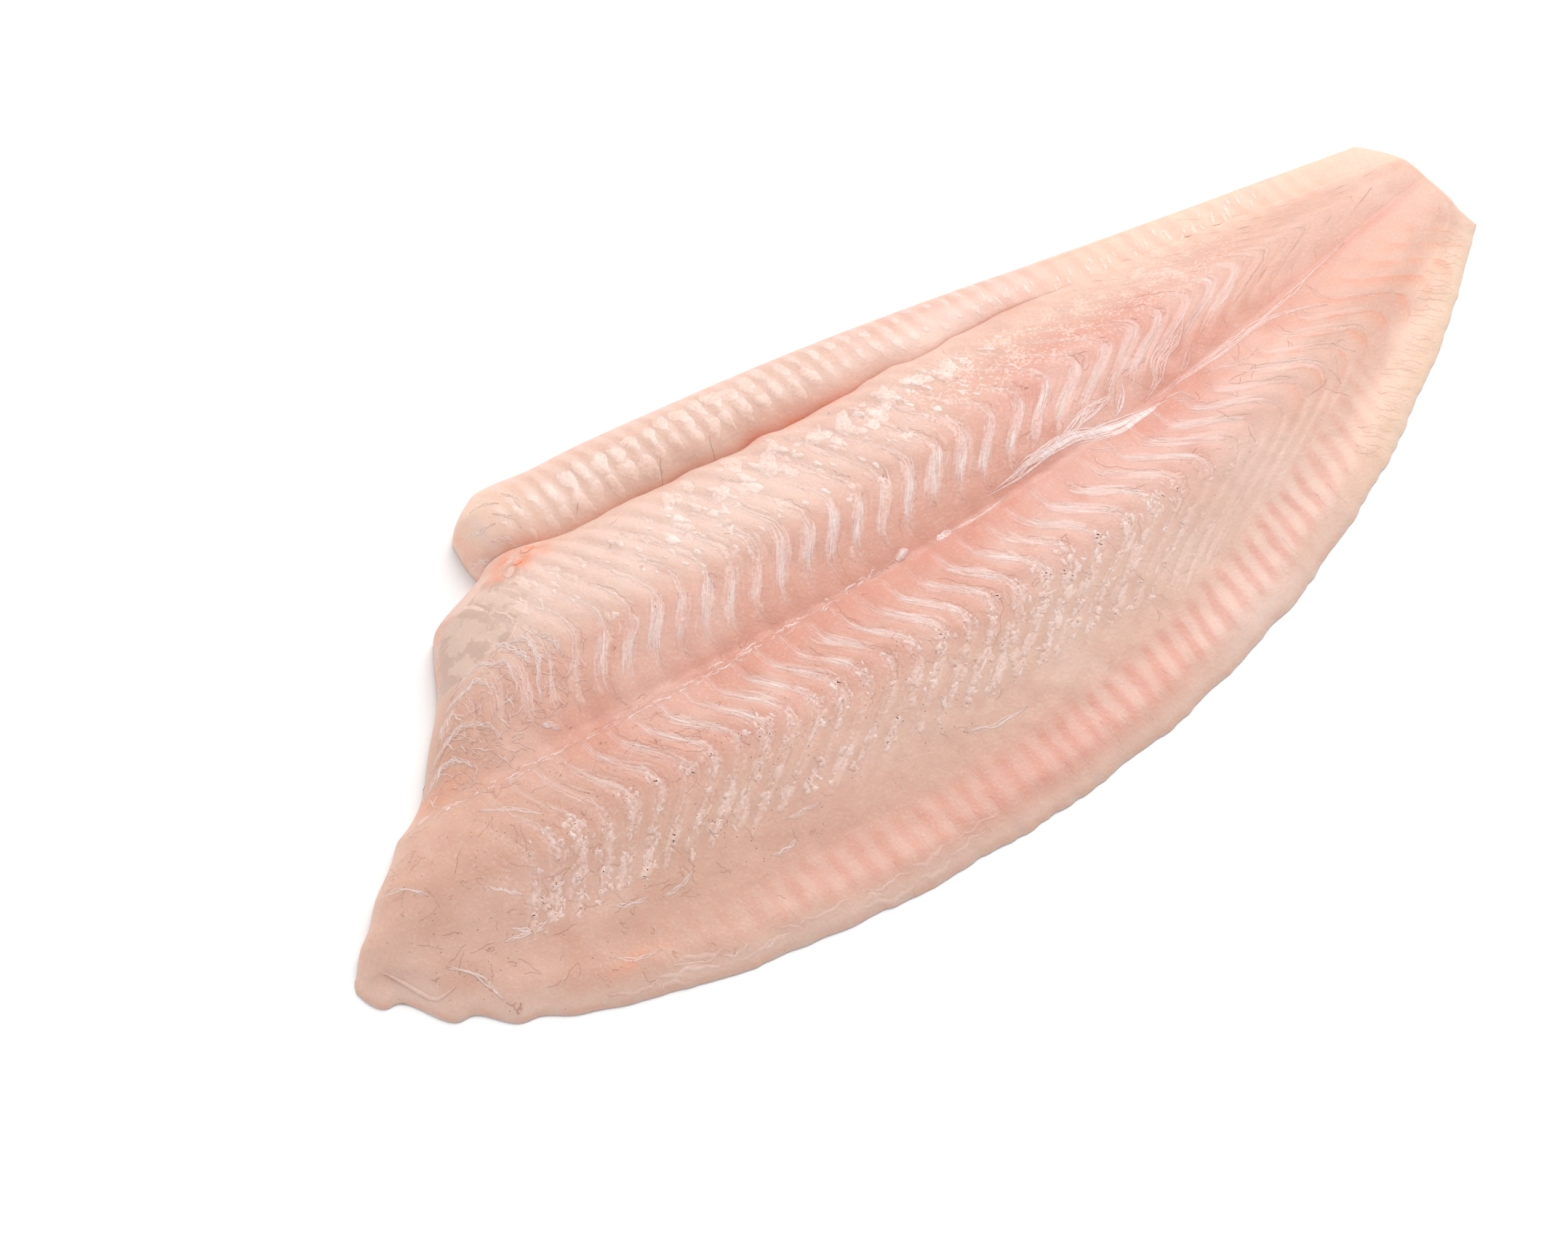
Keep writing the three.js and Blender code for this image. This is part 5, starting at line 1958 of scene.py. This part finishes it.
@dataclass
class ConnectiveStrands:
    """White connective tissue: a wavering thread on the midline, and bundles towards the tail.

    A bundle or thread is its corners, how many fibres it has, their spread, width and strength.
    """

    seed: int = 57
    rise: float = 0.09
    midline: Pairs = (
        (20, -4.4), (32, -6.0), (45, -8.0), (58, -9.6), (70, -10.8), (82, -11.5), (95, -11.7),
        (107, -11.5),
    )
    bundles: tuple = (
        (((125.5, -10.8), (132, -10.5), (137, -9.7), (143, -9.6), (148, -10.8), (154, -11.7),
          (162, -12.4)), 16, 1.1, 0.36, 1.0),
        (((142.5, -10.8), (147, -11.8), (151, -13.2), (156, -12.9), (160, -12.4)), 9, 0.7, 0.34, 1.0),
        (((140, -9.6), (144.5, -9), (148.5, -7.8), (152, -7.2), (156, -6.8)), 12, 1.0, 0.4, 0.75),
        (((145, -9.3), (148.5, -10.4), (152, -10.1)), 4, 0.4, 0.25, 0.6),
        (((152, -10.3), (154, -9.6), (156.5, -7.8), (158, -5.5)), 6, 0.4, 0.3, 0.9),
        (((158.5, -10.5), (163, -8.7), (165.5, -6.2), (170, -4), (173.5, -1.6), (177, 0)), 12, 1.3, 0.4, 0.5),
        (((167.5, -9.4), (170, -7.9), (172.5, -6.2)), 4, 0.5, 0.25, 0.4),
        (((160, -12), (164.5, -12.5), (165.4, -15)), 4, 0.3, 0.22, 0.7),
        (((162, -13), (164, -14.2), (166.5, -16.4)), 3, 0.3, 0.2, 0.6),
        (((143.5, -12), (146.5, -14.6), (150.5, -17)), 3, 0.4, 0.22, 0.45),
        (((158, -5.2), (160, -4.9), (162.5, -4.5), (165.5, -4.3)), 8, 1.1, 0.22, 0.75),
        (((161, -10.8), (167, -10.5), (175, -9.9), (183, -9), (188, -8.9)), 5, 0.4, 0.3, 0.55),
        (((168.5, -11.5), (173, -12.3), (176.5, -13.5), (181, -13)), 4, 0.5, 0.25, 0.5),
        (((176, -9.2), (181, -9.6), (187, -8.9), (193, -10.6), (197, -12.6)), 5, 0.5, 0.34, 0.6),
        (((178, -3.2), (184, -1.6), (192, 2.6)), 4, 0.4, 0.3, 0.45),
    )
    films: tuple[Pairs, ...] = (
        ((143, -9.8), (148, -11), (154, -12.1), (162, -12.5)),
        ((148, -12.4), (152, -13), (156, -12.8), (160, -12.5)),
        ((134, -10.3), (139, -9.9), (144, -9.9), (148, -10.9)),
    )
    threads: tuple = (
        (((160, -11), (170, -9.8), (177, -9.0), (185, -8.2), (192, -7), (200, -5.2), (209, -3.2)),
         4, 0.5, 0.34, 0.6),
        (((107.2, -11.55), (108.4, -11.35), (109.8, -11.2)), 4, 0.12, 1.3, 1.0),
        (((114.6, -12.4), (116, -12.2), (117.6, -12.3)), 6, 0.5, 0.5, 0.9),
        (((116, -12.3), (122, -12.7), (129, -12.3)), 3, 0.25, 0.4, 0.6),
    )
    scraps: int = 110
    scrap_stations: int = 7
    steps: int = 400

    def scraps_along(self, rng: Chance) -> Strokes:
        """Short white scraps along the midline thread, mostly within half a millimetre of it."""
        n, stations, count = self.scraps, self.scrap_stations, np.arange(self.steps)
        curve = smooth_line(self.midline, self.steps)
        index = rng.uniform(6, self.steps - 6, n)[:, None]
        index = index + rng.uniform(1.5, 8, n)[:, None] * np.linspace(-1, 1, stations)
        lines = np.stack([np.interp(index, count, column) for column in curve.T], -1)
        lines[..., 1] += rng.normal(0, 0.4, n)[:, None] + wander(rng, n, stations, 0.25, 0.8)
        return Strokes.along(lines, rng.uniform(0.2, 0.6, n), rng.uniform(0.3, 0.9, n))

    def build(self, skin: SoleFillet) -> Piece:
        """Lays the threads and braids along the midline."""
        rng = np.random.default_rng(self.seed)
        groups = [braid(rng, self.midline, 2, 0.5, 0.24, 0.4, 1.2), self.scraps_along(rng)]
        groups += [braid(rng, *bundle, turns=0.06, loose=0.35) for bundle in self.bundles]
        groups += [braid(rng, corners, 6, 0.35, 0.8, 1.15, 0.04, 0.3) for corners in self.films]
        groups += [braid(rng, *thread) for thread in self.threads]
        return lay("connective_strands", skin, Tissue.SHEATH, groups, self.rise)


# ---- The studio ----
@dataclass(frozen=True)
class SoftBox:
    """One soft white lamp: where it hangs, how wide it is, and how strong."""

    name: str
    place: Triple
    width: float
    power: float

    def hang(self) -> None:
        """Makes the lamp and turns it to the middle of the table."""
        lamp = bpy.data.lights.new(self.name, "AREA")
        lamp.shape = "DISK"
        lamp.size = self.width
        lamp.energy = self.power
        thing = bpy.data.objects.new(self.name, lamp)
        thing.location = self.place
        thing.rotation_euler = look_along(-np.array(self.place))
        bpy.context.scene.collection.objects.link(thing)


def look_along(way: Array) -> Triple:
    """The turn that points a lamp or camera along a direction, with its top upwards."""
    x, y, z = way / np.linalg.norm(way)
    return (math.acos(-z), 0.0, math.atan2(-x, y))


@dataclass
class Studio:
    """A white floor under three soft lamps and pale surroundings, and the camera over it.

    The strongest light comes from behind the fish and above; weaker ones are in front and on the left.
    """

    elevation: float = 55.0
    heading: float = 37.56
    distance: float = 0.610
    lens: float = 90.0
    sensor: float = 36.0
    aim: Triple = (-0.02652, 0.00174, 0.0)
    floor_half: float = 3.0
    floor_gap: float = 0.0002
    floor_tones: Span = (0.95, 0.97)
    surroundings: float = 0.56
    lamps: tuple[SoftBox, ...] = (
        SoftBox("back_softbox", (0.70, 0.45, 0.95), 0.9, 11.2),
        SoftBox("front_fill", (-0.6, -0.5, 0.9), 1.0, 0.8),
        SoftBox("left_fill", (-0.75, 0.55, 0.55), 1.0, 1.8),
    )

    def lay_floor(self) -> None:
        """Makes the floor, just below the fish, in faint broad tones of white."""
        half, low = self.floor_half, -self.floor_gap
        corners = np.array([[-half, -half, low], [half, -half, low], [half, half, low], [-half, half, low]])
        floor = make_object("floor", corners, [[0, 1, 2, 3]])
        paint = Paint("white_table")
        shade_spots, brighter = ((tone, tone, tone, 1.0) for tone in self.floor_tones)
        tone = paint.blend(paint.noise(paint.millimetres(), 0.02, 2), shade_spots, brighter)
        floor.data.materials.append(paint.set_surface(Base_Color=tone, Roughness=0.9))

    def build(self) -> None:
        """Makes the floor, the lamps, the pale surroundings and the camera."""
        self.lay_floor()
        for lamp in self.lamps:
            lamp.hang()
        world = bpy.data.worlds.new("surroundings")
        world.use_nodes = True
        world.node_tree.nodes["Background"].inputs["Color"].default_value = (1, 1, 1, 1)
        world.node_tree.nodes["Background"].inputs["Strength"].default_value = self.surroundings
        bpy.context.scene.world = world
        self.place_camera()
        bpy.context.scene.view_settings.view_transform = "Standard"

    def place_camera(self) -> None:
        """The camera looks at `aim` from `distance`, `elevation` degrees above the table."""
        up, turn = math.radians(self.elevation), math.radians(self.heading)
        way = np.array([math.sin(turn) * math.cos(up), math.cos(turn) * math.cos(up), -math.sin(up)])
        camera = bpy.data.cameras.new("camera")
        camera.lens = self.lens
        camera.sensor_width = self.sensor
        thing = bpy.data.objects.new("camera", camera)
        thing.location = np.array(self.aim) - way * self.distance
        thing.rotation_euler = look_along(way)
        bpy.context.scene.collection.objects.link(thing)
        bpy.context.scene.camera = thing


def keep(thing: Piece, *nodes: str) -> None:
    """Makes a piece ride with the fillet's body and stand for CAD nodes."""
    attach(thing, "root")
    if nodes:
        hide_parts(*nodes)
    log.info("%s: %d corners, %d faces", thing.name, len(thing.data.vertices), len(thing.data.polygons))


def main() -> None:
    """Builds the fillet and the studio in order."""
    logging.basicConfig(level=logging.INFO, format="%(name)s: %(message)s")
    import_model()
    fillet = SoleFillet()
    flesh = fillet.build()
    fillet.dress(flesh)
    keep(flesh, "sole_fillet")
    laid = (
        PaintedSheenPatches(), SkinVeil(), TornFlesh(), SheathFibres(), CrumblyTissue(), HeadFolds(), VesselsAndCreaseShade(),
        FrillRays(), FilmScraps(), ConnectiveStrands(),
    )
    for tissue in laid:
        keep(tissue.build(fillet))
    Studio().build()


if __name__ == "__main__":
    main()
